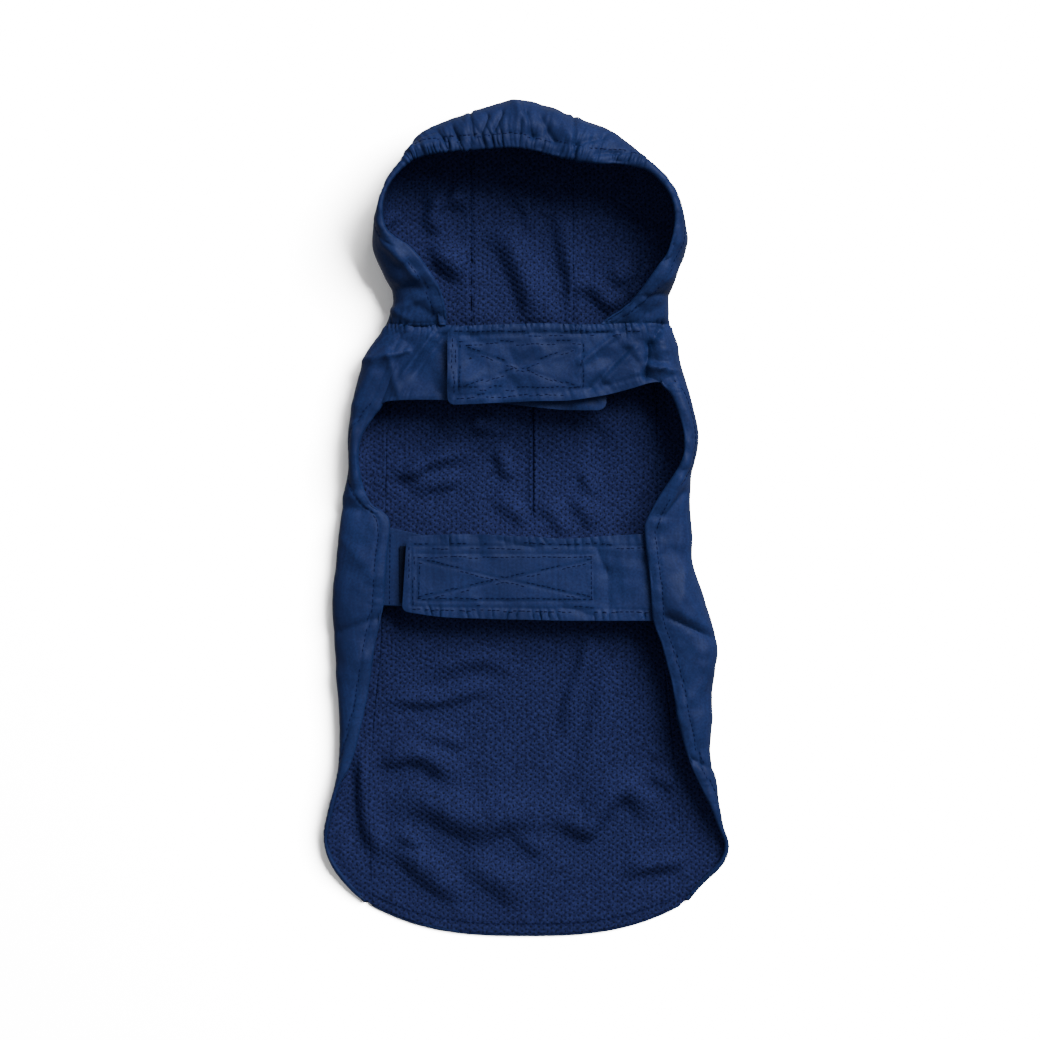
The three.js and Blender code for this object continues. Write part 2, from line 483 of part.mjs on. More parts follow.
function gatheredOuter(gatherCuts) {
  const proud = new Map();
  hoodPositions(gatherCuts).forEach((t, n) => {
    if (t <= BRIM_FIRST || t >= BRIM_LAST || n % 2) return;
    for (const s of HOOD_COLUMNS.filter((column) => column > BRIM_REACH)) {
      proud.set(placeKey(hoodPoint(t, s)), (s - BRIM_REACH) / (1 - BRIM_REACH));
    }
  });
  return (p) => TABLE_CLEAR + GATHER_RISE * (proud.get(placeKey(p)) ?? 0);
}

// Solids and geometries, for the cuts between panels.
function solidOf(geometry) {
  return new wasm.Manifold(new wasm.Mesh({
    numProp: 3,
    vertProperties: Float32Array.from(geometry.attributes.position.array),
    triVerts: Uint32Array.from(geometry.index.array),
  }));
}

function geometryOf(solid) {
  const { vertProperties, triVerts } = solid.getMesh();
  const geometry = new THREE.BufferGeometry();
  geometry.setAttribute('position', new THREE.BufferAttribute(vertProperties, 3));
  geometry.setIndex(new THREE.BufferAttribute(triVerts, 1));
  return geometry;
}

// A box with its corners merged, so that it is one closed body.
function boxSolid(size, centre) {
  const box = new THREE.BoxGeometry(...size).translate(...centre);
  const merged = new Surface();
  const corner = new THREE.Vector3();
  const index = Array.from(box.index.array, (i) => merged.add(corner.fromBufferAttribute(box.attributes.position, i)));
  const geometry = new THREE.BufferGeometry();
  const numbers = merged.points.flatMap((p) => p.toArray());
  geometry.setAttribute('position', new THREE.Float32BufferAttribute(numbers, 3));
  return solidOf(geometry.setIndex(index));
}

// The part of a hood layer that lies between two seam lines.
function hoodPanel(layer, fromX, toX) {
  const between = boxSolid([toX - fromX, COAT_LENGTH, COAT_LENGTH], [(fromX + toX) / 2, HOOD_CENTRE_Y, 0]);
  return geometryOf(solidOf(layer).intersect(between));
}

// Every second row of a band's edges stands up in a small ruffle.
const pucker = (n, b) => (n % 2) * PUCKER_RISE * Math.exp(-((Math.min(b, 1 - b) / PUCKER_REACH) ** 2));

// A strap: rows of a closure table, its two long edges ruffled where asked.
function strapGeometry(table, perRow, ruffled) {
  const columns = rowPositions(table.length - 1, () => perRow);
  const across = [0, 0.1, 0.35, 0.65, 0.9, 1];
  const grid = columns.map((t, n) => {
    const row = rowAt(table, t);
    return across.map((b) => {
      const p = bandPoint(row, b);
      if (ruffled) p.z += pucker(n, b);
      return p;
    });
  });
  return new Surface().addGrid(grid, true).wall(-STRAP_THICKNESS / 2, STRAP_THICKNESS / 2);
}

// Height of a closure table's middle line at x.
function heightAt(table, x) {
  const middle = (row) => (row.topX + row.bottomX) / 2;
  const fine = steps(0, table.length - 1, 20 * table.length).map((t) => rowAt(table, t));
  return fine.reduce((a, b) => (Math.abs(middle(a) - x) < Math.abs(middle(b) - x) ? a : b)).z;
}

// A tape lies on a closure part: its points follow that part's height, moved out.
function tapeGeometry(tape, table, moved) {
  const point = (x, y) => new THREE.Vector3(x, y, heightAt(table, x) + moved);
  const grid = steps(tape.left, tape.right, 10).map((x) => [point(x, tape.top), point(x, tape.bottom)]);
  return new Surface().addGrid(grid, true).wall(-TAPE_THICKNESS / 2, TAPE_THICKNESS / 2);
}

// Materials.
const cloth = (name, color, roughness) => new THREE.MeshStandardMaterial({ name, color, roughness, metalness: 0 });
const shellCloth = cloth('shell_cloth', 0x25406f, 0.45);
const meshCloth = cloth('mesh_lining', 0x1a2a58, 0.85);
const hookTape = cloth('closure_tape', 0x10193a, 0.9);

const coat = new THREE.Group();

function addPiece(name, geometry, material) {
  const mesh = new THREE.Mesh(geometry, material);
  mesh.name = name;
  coat.add(mesh);
}

const shell = (surface, outer = TABLE_CLEAR) => surface.wall(SEAM_GAP / 2, outer);
const lining = (surface) => surface.wall(-SEAM_GAP / 2 - LINING_WALL, -SEAM_GAP / 2);

addPiece('shell_back', shell(backSurface(6, 16, false)), shellCloth);
addPiece('lining_back', lining(backSurface(18, 9, true)), meshCloth);
for (const side of ['left', 'right']) {
  addPiece(`shell_side_${side}`, shell(sideSurface(side, true)), shellCloth);
  addPiece(`lining_side_${side}`, lining(sideSurface(side, false)), meshCloth);
}

const gatherCuts = (2 * GATHER_COUNT) / (BRIM_LAST - BRIM_FIRST);
const hoodShell = shell(hoodSurface(gatherCuts, false), gatheredOuter(gatherCuts));
const hoodLining = lining(hoodSurface(3, true));
const hoodCuts = [
  { name: 'left', from: -COAT_LENGTH, to: HOOD_SEAM_LEFT - SEAM_GAP / 2 },
  { name: 'centre', from: HOOD_SEAM_LEFT + SEAM_GAP / 2, to: HOOD_SEAM_RIGHT - SEAM_GAP / 2 },
  { name: 'right', from: HOOD_SEAM_RIGHT + SEAM_GAP / 2, to: COAT_LENGTH },
];
for (const { name, from, to } of hoodCuts) {
  addPiece(`hood_shell_${name}`, hoodPanel(hoodShell, from, to), shellCloth);
  addPiece(`hood_lining_${name}`, hoodPanel(hoodLining, from, to), meshCloth);
}

const tapeStep = TAPE_THICKNESS + SEAM_GAP;
const onNeck = TABLE_CLEAR + SEAM_GAP + TAPE_THICKNESS / 2;
const onBelly = STRAP_THICKNESS / 2 + SEAM_GAP + TAPE_THICKNESS / 2;
addPiece('neck_loop_tape', tapeGeometry(TAPES.neckLoop, NECK_BAND.left, onNeck), hookTape);
addPiece('neck_hook_tape', tapeGeometry(TAPES.neckHook, NECK_BAND.left, onNeck + tapeStep), hookTape);
addPiece('belly_underlap', strapGeometry(BELLY_UNDERLAP, 2, false), shellCloth);
addPiece('belly_loop_tape', tapeGeometry(TAPES.bellyLoop, BELLY_UNDERLAP, onBelly), hookTape);
addPiece('belly_hook_tape', tapeGeometry(TAPES.bellyHook, BELLY_UNDERLAP, onBelly + tapeStep), hookTape);
addPiece('belly_strap', strapGeometry(BELLY_STRAP, 6, true), shellCloth);

export default coat;
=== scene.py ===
"""Looks of a small dog's raincoat, laid on its back on a pale table and seen from above.

Sizes are in millimetres and turn to metres where a mesh is finished. Each piece of cloth is a fine
grid on the form of its CAD solid, with its folds, gathers and hems moved out of it, and replaces it.
"""

import logging
import math
from collections.abc import Callable, Sequence
from dataclasses import dataclass
from enum import Enum
from typing import NamedTuple

import bmesh
import bpy
import numpy as np
from mathutils import Matrix, Vector, noise
from mathutils.bvhtree import BVHTree

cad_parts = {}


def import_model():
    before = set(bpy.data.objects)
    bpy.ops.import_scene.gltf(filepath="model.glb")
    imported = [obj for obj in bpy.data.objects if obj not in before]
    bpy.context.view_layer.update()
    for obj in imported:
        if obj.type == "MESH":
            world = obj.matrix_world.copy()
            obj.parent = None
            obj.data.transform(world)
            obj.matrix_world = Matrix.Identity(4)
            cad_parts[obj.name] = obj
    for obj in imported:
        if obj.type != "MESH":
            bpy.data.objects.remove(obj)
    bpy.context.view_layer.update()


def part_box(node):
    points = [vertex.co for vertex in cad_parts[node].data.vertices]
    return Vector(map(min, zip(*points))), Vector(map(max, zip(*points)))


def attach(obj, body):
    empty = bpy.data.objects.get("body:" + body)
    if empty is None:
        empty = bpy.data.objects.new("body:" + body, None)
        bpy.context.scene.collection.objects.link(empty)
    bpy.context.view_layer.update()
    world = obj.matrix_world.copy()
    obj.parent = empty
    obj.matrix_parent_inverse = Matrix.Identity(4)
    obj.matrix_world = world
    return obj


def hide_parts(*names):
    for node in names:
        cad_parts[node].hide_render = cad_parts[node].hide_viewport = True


log = logging.getLogger("raincoat")

MM = 0.001
TABLE_CLEAR = 1.35  # height of the surface that lies between shell and lining
NECK_Y = 101.0  # the neck seam
SEAM_LAP = 0.1  # panels lap this far over the line of their seam
SHELL_MIDDLE = 0.95  # middle of the shell cloth, out from that surface
SHELL_CLOTH = 0.7
LINING_MIDDLE = 0.55  # middle of the lining, in from that surface
LINING_CLOTH = 0.5
HEM_TURN = 1.2  # a turned hem lies this far in from that surface, over the lining
STITCH_PITCH = 2.65
STITCH_CLEAR = 0.42  # the thread's middle lies this far over the shell's
HEM_STITCH = 5.0  # a hem's stitches lie this far from its edge
HOOD_SEAMS = (-29.0, 25.0)  # x of the seams between the hood's panels
NECK_LAP = 0.7  # the hood's shell reaches this far under the neck bands


class Side(Enum):
    """The coat's two sides, as seen in the picture."""

    LEFT = -1
    RIGHT = 1


class Section(NamedTuple):
    """A section of a side panel: from the side seam up to the fold and over to the free edge."""

    seam_y: float
    fold_x: float
    fold_y: float
    fold_z: float
    edge_x: float
    edge_y: float
    edge_z: float


class Strip(NamedTuple):
    """A place along a band or strap: its upper and lower edge, and its height."""

    top_x: float
    top_y: float
    bottom_x: float
    bottom_y: float
    z: float


class Crease(NamedTuple):
    """A fold between two points seen from above. A lift below zero is a trough."""

    from_x: float
    from_y: float
    to_x: float
    to_y: float
    width: float
    lift: float


class Fold(NamedTuple):
    """A soft fold of the lining along a curve seen from above, its crest to the left of the curve."""

    width: float
    lift: float
    path: tuple[tuple[float, float], ...]


class Billow(NamedTuple):
    """A place where the loose lining stands off the back panel."""

    y: float
    reach: float
    lift: float


class SeamPoint(NamedTuple):
    """A corner of a side seam."""

    y: float
    x: float


def table(kind: type, *rows: tuple) -> tuple:
    """A table whose rows have the columns of `kind`."""
    return tuple(kind(*row) for row in rows)


SIDE_SEAM = {
    Side.LEFT: table(
        SeamPoint,
        (101, -60), (82, -67), (60, -72), (40, -74), (-20, -75),
        (-70, -77), (-110, -81), (-150, -83.5), (-204.5, -81.5),
    ),
    Side.RIGHT: table(
        SeamPoint,
        (101, 63), (82, 66.5), (60, 69), (40, 69.5), (-20, 69.5),
        (-70, 72.5), (-110, 76.5), (-150, 81), (-204.5, 81.5),
    ),
}

SIDE_SECTIONS = {
    Side.LEFT: table(
        Section,
        (101, -74, 101, 11, -58, 101, 20),
        (91, -81, 91, 11, -62.5, 91, 20),
        (82, -86, 82, 11, -67, 81, 19.5),
        (60, -91, 62, 10, -76, 60, 18.5),
        (54, -92.5, 54, 10, -81, 53, 18),
        (40, -94, 41, 10, -88, 41, 17.5),
        (25, -93.5, 25, 9, -89, 25, 16.5),
        (9, -97, 9, 8, -83, 8, 15),
        (-2, -98, -2, 8, -73, -1.5, 14.5),
        (-20, -100, -22, 7.5, -74.5, -22, 14.5),
        (-39, -102, -39, 7.5, -75.5, -39, 14.5),
        (-50, -102, -50, 7.5, -76.5, -50, 14),
        (-70, -101, -70, 7, -81, -70, 13),
        (-91, -99.5, -91, 7, -84, -91, 12.5),
        (-110, -98.5, -110, 7, -88, -110, 12),
        (-129, -99, -129, 7, -93, -129, 11.5),
        (-142, -101, -142, 7, -99.5, -142, 11),
        (-150, -104.5, -156, 6, -103.2, -156, 9.5),
        (-166, -107, -168, 5, -105.5, -167.5, 8.5),
        (-178, -105.3, -177.5, 4.5, -104, -177, 7.5),
        (-188, -100.2, -187.5, 4, -99, -186.5, 6),
        (-197, -92.5, -197, 3.2, -91.5, -196, 4.6),
        (-205.2, -85.8, -202.1, 2.4, -85, -202.8, 2.8),
    ),
    Side.RIGHT: table(
        Section,
        (101, 76, 101, 14, 61.5, 101, 27),
        (91, 79.5, 91, 14.5, 65, 91, 28),
        (82, 81, 82, 15, 67.5, 81.5, 28.5),
        (72, 83.5, 72, 15.5, 71, 70.5, 29),
        (60, 85.5, 64, 16, 77, 63.5, 30),
        (51, 89, 51, 16, 81.5, 51, 31),
        (40, 90.5, 40, 16, 83.5, 40, 31),
        (30, 89, 30, 16, 82.5, 30, 31),
        (22, 87, 22, 15.5, 78, 22, 30),
        (12, 86.5, 12, 15, 70.5, 11, 28.5),
        (0, 86.5, 0, 14, 64, -1, 27),
        (-8, 87, -8, 13.5, 63, -8, 26),
        (-20, 87, -22, 13, 64.5, -22, 25.5),
        (-38, 92.5, -38, 12.5, 66, -38, 25.5),
        (-54, 97.5, -54, 12, 67.5, -54, 25),
        (-70, 100.5, -67, 11.5, 72, -67, 23),
        (-86, 98.5, -86, 11, 77, -86, 21),
        (-110, 98, -107, 10.5, 81, -107, 19.5),
        (-126, 97.5, -126, 10, 86, -126, 18),
        (-139, 100.5, -139, 9.5, 91, -138, 16.5),
        (-150, 102, -152, 8.5, 98, -152, 14.5),
        (-162, 104, -163, 7.5, 102, -163, 12),
        (-174, 107, -173, 6, 105.4, -172.5, 9.5),
        (-184, 103.5, -183, 5, 102.3, -182, 8),
        (-195, 93.5, -193.5, 3.8, 92.3, -192.6, 5.4),
        (-205.2, 86.2, -201.2, 2.4, 85.3, -202, 2.8),
    ),
}
BAND_ROOT_ROWS = 3  # the neck bands grow out of the free edges down to this row
LEG_LAST_ROW = {Side.LEFT: 8.5, Side.RIGHT: 11.5}  # where the leg opening ends and the tail flap begins

NECK_BAND = {
    Side.LEFT: table(
        Strip,
        (-58, 101, -76, 60, 19.5), (-50, 101, -70, 61, 20.8), (-42, 100.5, -62, 61.5, 21.6),
        (-29, 100, -47, 61.5, 22.2), (-10, 99, -27, 60.5, 22.5), (8, 98.5, -7, 59, 22.5),
        (25, 98, 16, 56.5, 22.5), (41, 97, 42, 56, 22.5),
    ),
    Side.RIGHT: table(
        Strip,
        (61.5, 101, 71, 70.5, 28.5), (51, 101, 64.5, 70, 28.3), (38.5, 100.5, 54, 67, 28),
        (25, 100.5, 40, 63.5, 27.8), (8, 101, 22, 61, 27.8), (-9, 100.5, 0, 60.5, 27.8),
        (-25, 100, -21, 59.5, 27.8), (-41, 99, -41, 58.5, 27.8),
    ),
}

HOOD_SECTIONS = table(
    Section,
    (101, -74, 101, 11, -42, 101, 22),
    (114, -70, 112, 13, -43.5, 110, 26),
    (127, -73, 123, 16, -47, 121, 30),
    (140, -80, 140, 18, -60, 139, 34),
    (140, -80, 151.5, 20, -73, 149, 36),
    (140, -77.3, 164, 22, -75.5, 163, 38),
    (140, -72.5, 177.5, 22, -70.5, 175.5, 37),
    (140, -65, 187, 21, -62, 184.5, 36),
    (140, -60, 196.5, 20, -57, 187.5, 36.5),
    (140, -52, 203, 20, -46.5, 190, 38),
    (140, -31, 211, 20, -25, 191.5, 40),
    (140, -4.5, 218, 20, -4, 192, 42),
    (140, 24, 210, 20, 18.5, 187, 43),
    (140, 44, 202, 21, 36, 184, 43),
    (140, 57.5, 191.5, 22, 52.5, 183, 42),
    (140, 66.5, 181.5, 23, 65.5, 179.5, 42),
    (140, 77.5, 170.5, 24, 74.7, 168.5, 42),
    (140, 82.5, 156, 24, 78, 155.5, 42),
    (140, 84, 142, 23, 74.5, 139.5, 41),
    (127, 78, 124.5, 20, 64.5, 123, 37),
    (114, 75, 113, 16, 54, 111, 32),
    (101, 76, 101, 14, 38.5, 101, 28),
)
BRIM_ROWS = (7, 15)

BELLY_STRAP = table(
    Strip,
    (-62.5, -10, -65, -49, 18.8), (-45, -9, -45, -52, 19.3), (-22, -9, -22, -53, 19.9),
    (0, -10, 0, -53.5, 20.3), (22, -11, 22, -54, 20.8), (45, -9.5, 46, -54, 21.6),
    (72, -8, 75, -54, 22.6),
)
BELLY_UNDERLAP = table(
    Strip,
    (-82, -3, -83, -46, 11.6), (-66, -6.5, -67, -46.5, 12.9), (-45, -11, -45, -48, 13.7),
    (-22, -12, -22, -50, 14.3), (0, -13, 0, -52, 14.7), (22, -14, 22, -54, 15.2),
    (35, -14, 35, -55, 15.6),
)


class Rectangle(NamedTuple):
    """A rectangle seen from above."""

    left: float
    right: float
    bottom: float
    top: float


NECK_BOX = Rectangle(-35.5, 29, 67, 91)  # the stitched boxes over the hook tapes
BELLY_BOX = Rectangle(-57, 35, -43.5, -19.5)

LINING_FOLDS = table(
    Fold,
    (6.8, 2.3, ((-57, -86), (-45, -83), (-32, -79), (-19, -79), (-3, -82))),
    (5.4, 2.6, ((-80, -98), (-64, -99), (-45, -99), (-31, -95), (-14, -89))),
    (5.4, 1.8, ((-60, -116), (-45, -119), (-30, -123))),
    (8, 4.4, ((-83, -126), (-72, -131), (-61, -129), (-52, -131), (-42, -138), (-32, -142))),
    (12.5, 5.8, (
        (-73, -164), (-62, -157), (-51, -157), (-39, -164), (-24, -168),
        (-9, -164), (2, -166), (14, -177),
    )),
    (9, 4.8, (
        (14, -147), (17, -160), (25, -166), (34, -168), (42, -158),
        (49, -150), (55, -150), (62, -158), (72, -165),
    )),
    (6.1, 2.1, ((-12, -171), (-1, -175), (12, -181))),
    (6, 3.4, ((33, -55), (27, -80), (21, -96), (16, -120))),
    (8.1, 2.1, ((40, -65), (36, -96), (30, -123), (24, -147))),
    (4.1, 1.8, ((-70, -169), (-61, -172), (-52, -174))),
    (10.5, 4.6, ((-79, -180), (-68, -179), (-59, -187), (-47, -197), (-28, -209))),
    (11, 3.6, ((-44, -177), (-26, -190), (-14, -198), (2, -206))),
    (6, 3.4, ((53, -193), (61, -188), (72, -186), (87, -184))),
    (5.4, 2.3, ((63, -136), (72, -141), (80, -144))),
    (6, 4.0, ((-90, -115), (-89, -139), (-86, -165), (-75, -186))),
    (5.6, 4.0, ((-74, 22), (-62, 21), (-52, 26), (-40, 30), (-28, 33))),
    (6.5, 3.2, ((-62, 10), (-51, 15), (-41, 17), (-31, 21))),
    (6.5, 3.4, ((-33, 48), (-23, 45), (-13, 46))),
    (3.4, 1.8, ((-15, 56), (-6, 55), (3, 52))),
    (5.4, 2.8, ((-20, 37), (-15, 29), (-12, 18))),
    (8.1, 1.9, ((17, 58), (34, 52), (51, 37))),
    (5.4, 1.8, ((26, 26), (30, 19), (35, 9))),
    (6.5, 2.3, ((3, 10), (13, -1), (22, -13))),
    (6.8, 2.3, ((21, 11), (29, 1), (37, -9))),
    (6.5, 2.1, ((-20, 10), (-8, 1), (1, -8))),
)
HOOD_LINING_FOLDS = table(
    Fold,
    (9.5, 4.8, ((-24, 154), (-15, 145), (-10, 136), (-5, 124), (-2, 113), (2, 96))),
    (7, 3.8, ((13, 169), (17, 148), (19, 136), (22, 125), (22, 111), (24, 99))),
    (7, 4.2, ((-50, 175), (-52, 162), (-54, 148))),
    (9.5, 4.8, ((-55, 137), (-48, 135), (-40, 129), (-30, 126))),
    (7.5, 3.8, ((-45, 171), (-38, 166), (-29, 166))),
    (8.5, 5.0, ((28, 127), (39, 114), (48, 104))),
    (8, 4.0, ((40, 133), (46, 126), (54, 119))),
    (3.8, 2.9, ((66, 140), (59, 128), (50, 112))),
    (4.4, 1.6, ((-15, 178), (-3, 165), (2, 147))),
)
BILLOWS = (Billow(60, 20, 7.5), Billow(-34, 32, 7.0))
SHELL_CREASES = table(
    Crease,
    (-99, 5, -88, 4, 4.5, -2.4),
    (-96, 11, -88, 11, 3, 1.2),
    (-86, 82, -62, 87, 1.6, 2.0),
    (-57, 77, -44, 93, 3.5, -2.4),
    (-64, 75, -50, 94, 2, 2.1),
    (-72, 85, -67, 66, 2.4, 2.2),
    (-90, 60, -80, 78, 3, 1.5),
    (-90, 48, -89, 18, 1.8, 1.5),
    (-96, -12, -80, -30, 6, 1.4),
    (-98, -60, -76, -52, 2, -1.8),
    (-97, -84, -86, -74, 4, 1.4),
    (29, 81, 47, 95, 1.8, 2.1),
    (34, 68, 52, 86, 2.4, -2.0),
    (42, 72, 57, 88, 2, 1.8),
    (62, 74, 64, 90, 2, -3.3),
    (64, 90, 72, 100, 2, -2.7),
    (64, 79, 78, 76, 1.8, 2.4),
    (70, 90, 78, 70, 3, 1.8),
    (70, -2, 80, 20, 2.4, 2.1),
    (72, 1, 82, 12, 2.8, -2.4),
    (74, -52, 98, -63, 1.8, -2.2),
    (76, -47, 96, -58, 3, 1.5),
    (86, -20, 80, -44, 4, 1.4),
    (87, -127, 98, -132, 1.8, -1.8),
    (95, -84, 80, -100, 5, 1.2),
    (94, -108, 84, -120, 4, 1.2),
    (-72, 119, -57, 118.5, 3.6, -3.6),
    (-79, 157, -64, 135, 1.8, 1.5),
    (-74, 144, -58, 126, 2.6, 2.2),
    (-60, 112, -48, 105, 4, -2.0),
    (-69, 108, -57, 113, 3.0, 2.0),
    (-74, 112, -62, 104, 2, 1.5),
    (62, 115, 75, 116, 1.8, -2.1),
    (53, 107, 64, 116, 2, 1.8),
    (80, 142, 70, 126, 3, 1.5),
    (-46, 201, -40.5, 192, 2, -2.4),
    (-38, 202, -35, 195, 1.4, -2.7),
    (-20, 208, -23, 199, 1.1, -2.4),
    (-12.5, 209, -16.5, 200.5, 1.2, -2.7),
    (-28, 205, -27, 197, 1.2, -1.8),
    (-6, 214, 1, 203, 3.2, 3.3),
    (0, 209, 3, 197, 1.8, -2.8),
    (8, 206, 14, 195, 2, -2.0),
    (16, 207, 22, 196, 4, 2.1),
    (26, 192, 40, 197, 1.7, -2.4),
    (36, 187.5, 52, 189, 1.4, -2.1),
    (30, 203, 44, 199, 3, 1.5),
    (-62, 190, -48, 193, 2.2, 2.1),
    (-60, 195, -49, 200, 1.8, -1.8),
)
STRAP_CREASES = table(
    Crease,
    (37, -17, 42, -28, 2.6, -1.0),
    (42, -28, 43, -45, 2.6, -1.3),
    (50, -18, 51, -34, 3.4, 1.0),
    (55, -44, 66, -31, 3.2, -0.6),
    (-48, -22, -20, -33, 3, 0.5),
    (-14, -12, 4, -16, 1.8, -0.7),
    (20, -47, 34, -51, 1.8, -0.7),
)


class Spots(NamedTuple):
    """Places on a cloth, as arrays with one entry each."""

    points: np.ndarray
    normals: np.ndarray
    edge: np.ndarray  # distance from the free edge, below zero on what is turned under
    along: np.ndarray  # distance along that edge


def along_rows(rows: Sequence[NamedTuple], t: np.ndarray) -> np.ndarray:
    """Reads a table between its rows, on a smooth curve.

    Args:
        rows: the table.
        t: positions, where 0 is the first row and 1 the second.

    Returns:
        One row of the table's numbers for each position.
    """
    values = np.array(rows, dtype=float)
    last = len(values) - 1
    i = np.clip(np.floor(t).astype(int), 0, last - 1)
    f = (t - i)[:, None]
    a, b, c, d = (values[np.clip(i + k, 0, last)] for k in (-1, 0, 1, 2))
    return b + 0.5 * f * (c - a + f * (2 * a - 5 * b + 4 * c - d + f * (3 * (b - c) + d - a)))


def row_positions(last: int, cuts: Callable[[int], int]) -> np.ndarray:
    """Positions along a table.

    Args:
        last: number of the last row.
        cuts: how many steps lie between a row and the next.

    Returns:
        The positions, each row's own among them.
    """
    spans = [np.linspace(i, i + 1, cuts(i) + 1)[:-1] for i in range(last)]
    return np.concatenate([*spans, [float(last)]])


def unit(vectors: np.ndarray) -> np.ndarray:
    """The vectors at length 1."""
    return vectors / np.maximum(np.linalg.norm(vectors, axis=-1, keepdims=True), 1e-9)


def even_out(points: np.ndarray, shares: np.ndarray) -> tuple[np.ndarray, np.ndarray]:
    """Spreads each row's points evenly along its length.

    Args:
        points: rows of points.
        shares: where along each row the new points lie, from 0 to 1.

    Returns:
        The new rows, and each row's length.
    """
    spacing = np.linalg.norm(np.diff(points, axis=1), axis=2)
    reach = np.concatenate([np.zeros((len(points), 1)), np.cumsum(spacing, axis=1)], axis=1)
    even = np.empty((len(points), len(shares), 3))
    for i, (row, at) in enumerate(zip(points, reach)):
        for k in range(3):
            even[i, :, k] = np.interp(shares * at[-1], at, row[:, k])
    return even, reach[:, -1]


def section_surface(
    start: np.ndarray, rows: np.ndarray, squareness: float, shares: np.ndarray
) -> tuple[np.ndarray, np.ndarray]:
    """The surface between shell and lining, from sections.

    Args:
        start: where each section leaves the table.
        rows: fold and edge of each section, as the columns of Section.
        squareness: 2 for a quarter circle between table and side, more for a squarer one.
        shares: where along each section its points lie.

    Returns:
        Rows of points, and each section's length.
    """
    fold, edge = rows[:, 1:4].copy(), rows[:, 4:7]
    out = unit((fold - start) * (1, 1, 0))
    fold -= out * TABLE_CLEAR
    turn = np.linspace(0, math.pi / 2, 60)
    level = np.sin(turn) ** (2 / squareness)
    height = np.maximum(0, 1 - 1.06 * np.cos(turn) ** (2 / squareness))
    share = np.stack([level, level, height], axis=1)
    rise = start[:, None] + (fold - start)[:, None] * share[None]
    across = np.linalg.norm((edge - fold)[:, :2], axis=1)
    b, c = fold.copy(), edge + (fold - edge) * 0.45
    b[:, 2] += 0.75 * (edge - fold)[:, 2] + 0.12 * across
    c[:, 2] = edge[:, 2] + 0.06 * across
    s = np.linspace(0, 1, 50)[None, 1:, None]
    over = (1 - s) ** 3 * fold[:, None] + 3 * s * (1 - s) ** 2 * b[:, None]
    over = over + 3 * s**2 * (1 - s) * c[:, None] + s**3 * edge[:, None]
    return even_out(np.concatenate([rise, over], axis=1), shares)


def normals_of(points: np.ndarray) -> np.ndarray:
    """Outward directions of a grid whose start lies on the table. They look down where rows meet."""
    normal = np.cross(np.gradient(points, axis=0), np.gradient(points, axis=1))
    size = np.linalg.norm(normal, axis=2, keepdims=True)
    if normal[:, points.shape[1] // 8, 2].sum() > 0:
        normal = -normal
    return np.where(size < 1e-4, np.array([0.0, 0.0, -1.0]), unit(normal))


def crumple(points: np.ndarray, size: float, seed: float) -> np.ndarray:
    """Uneven height, between -1 and 1, that changes over about `size` mm."""
    return np.array([noise.noise(Vector(p) / size + Vector((seed, -seed, seed))) for p in points])


def facets(points: np.ndarray, size: float, seed: int) -> np.ndarray:
    """Flat fields with sharp creases between them, about `size` mm apart, as in crumpled thin cloth."""
    random = np.random.default_rng(seed)
    wander = 0.7 * size * crumple(points, 2.2 * size, seed)
    share = np.clip(0.7 + 1.4 * crumple(points, 3 * size, seed + 1), 0.1, 1.2)
    height = np.zeros(len(points))
    for _ in range(5):
        angle = random.uniform(0, 2 * math.pi)
        way = np.array([math.cos(angle), math.sin(angle), random.uniform(-0.4, 0.4)])
        length = size * random.uniform(0.9, 2.1)
        place = (points @ way + wander) / length + random.uniform()
        height += (4 * np.abs(place - np.round(place)) - 1) * length / (1.5 * size)
    return height / 5 * share


def gathers(points: np.ndarray, along: np.ndarray, pitch: float, seed: float) -> np.ndarray:
    """Uneven folds across a drawn-up edge, about `pitch` mm apart: broad crests, narrow troughs."""
    place = along / pitch + 0.9 * crumple(points, 3.2 * pitch, seed)
    trough = bell(np.abs(place - np.round(place)), 0.17)
    second = np.sin(2 * math.pi * (1.63 * place) + 5 * crumple(points, 5 * pitch, seed + 2))
    share = np.clip(0.6 + 1.3 * crumple(points, 2.5 * pitch, seed + 1), 0.05, 1.4)
    return (0.45 - 1.1 * trough + 0.3 * second) * share


def fade(distance: np.ndarray, reach: float) -> np.ndarray:
    """0 at the start, 1 from `reach` on."""
    share = np.clip(distance / reach, 0, 1)
    return share * share * (3 - 2 * share)


def bell(distance: np.ndarray, width: float) -> np.ndarray:
    """1 at distance 0, dying away over `width` to both sides."""
    return np.exp(-((distance / width) ** 2))


def beside(points: np.ndarray, line: Sequence[float]) -> tuple[np.ndarray, np.ndarray]:
    """Distances from a line seen from above.

    Args:
        points: the points.
        line: x and y of its start, x and y of its end.

    Returns:
        How far each point lies beside the line, and how far past its ends.
    """
    start, end = np.array(line[:2]), np.array(line[2:4])
    length = float(np.linalg.norm(end - start))
    way = (end - start) / length
    offset = points[:, :2] - start
    along = offset @ way
    aside = offset @ np.array([-way[1], way[0]])
    return aside, np.maximum(0, np.maximum(-along, along - length))


def creased(points: np.ndarray, creases: Sequence[Crease]) -> np.ndarray:
    """Height of all creases, each with a rounded crest and ends that die away."""
    height = np.zeros(len(points))
    for crease in creases:
        aside, past = beside(points, crease[:4])
        crest = np.hypot(aside, 0.35 * crease.width) - 0.35 * crease.width
        height += crease.lift * np.exp(-crest / (0.8 * crease.width) - (past / (1.3 * crease.width)) ** 2)
    return height


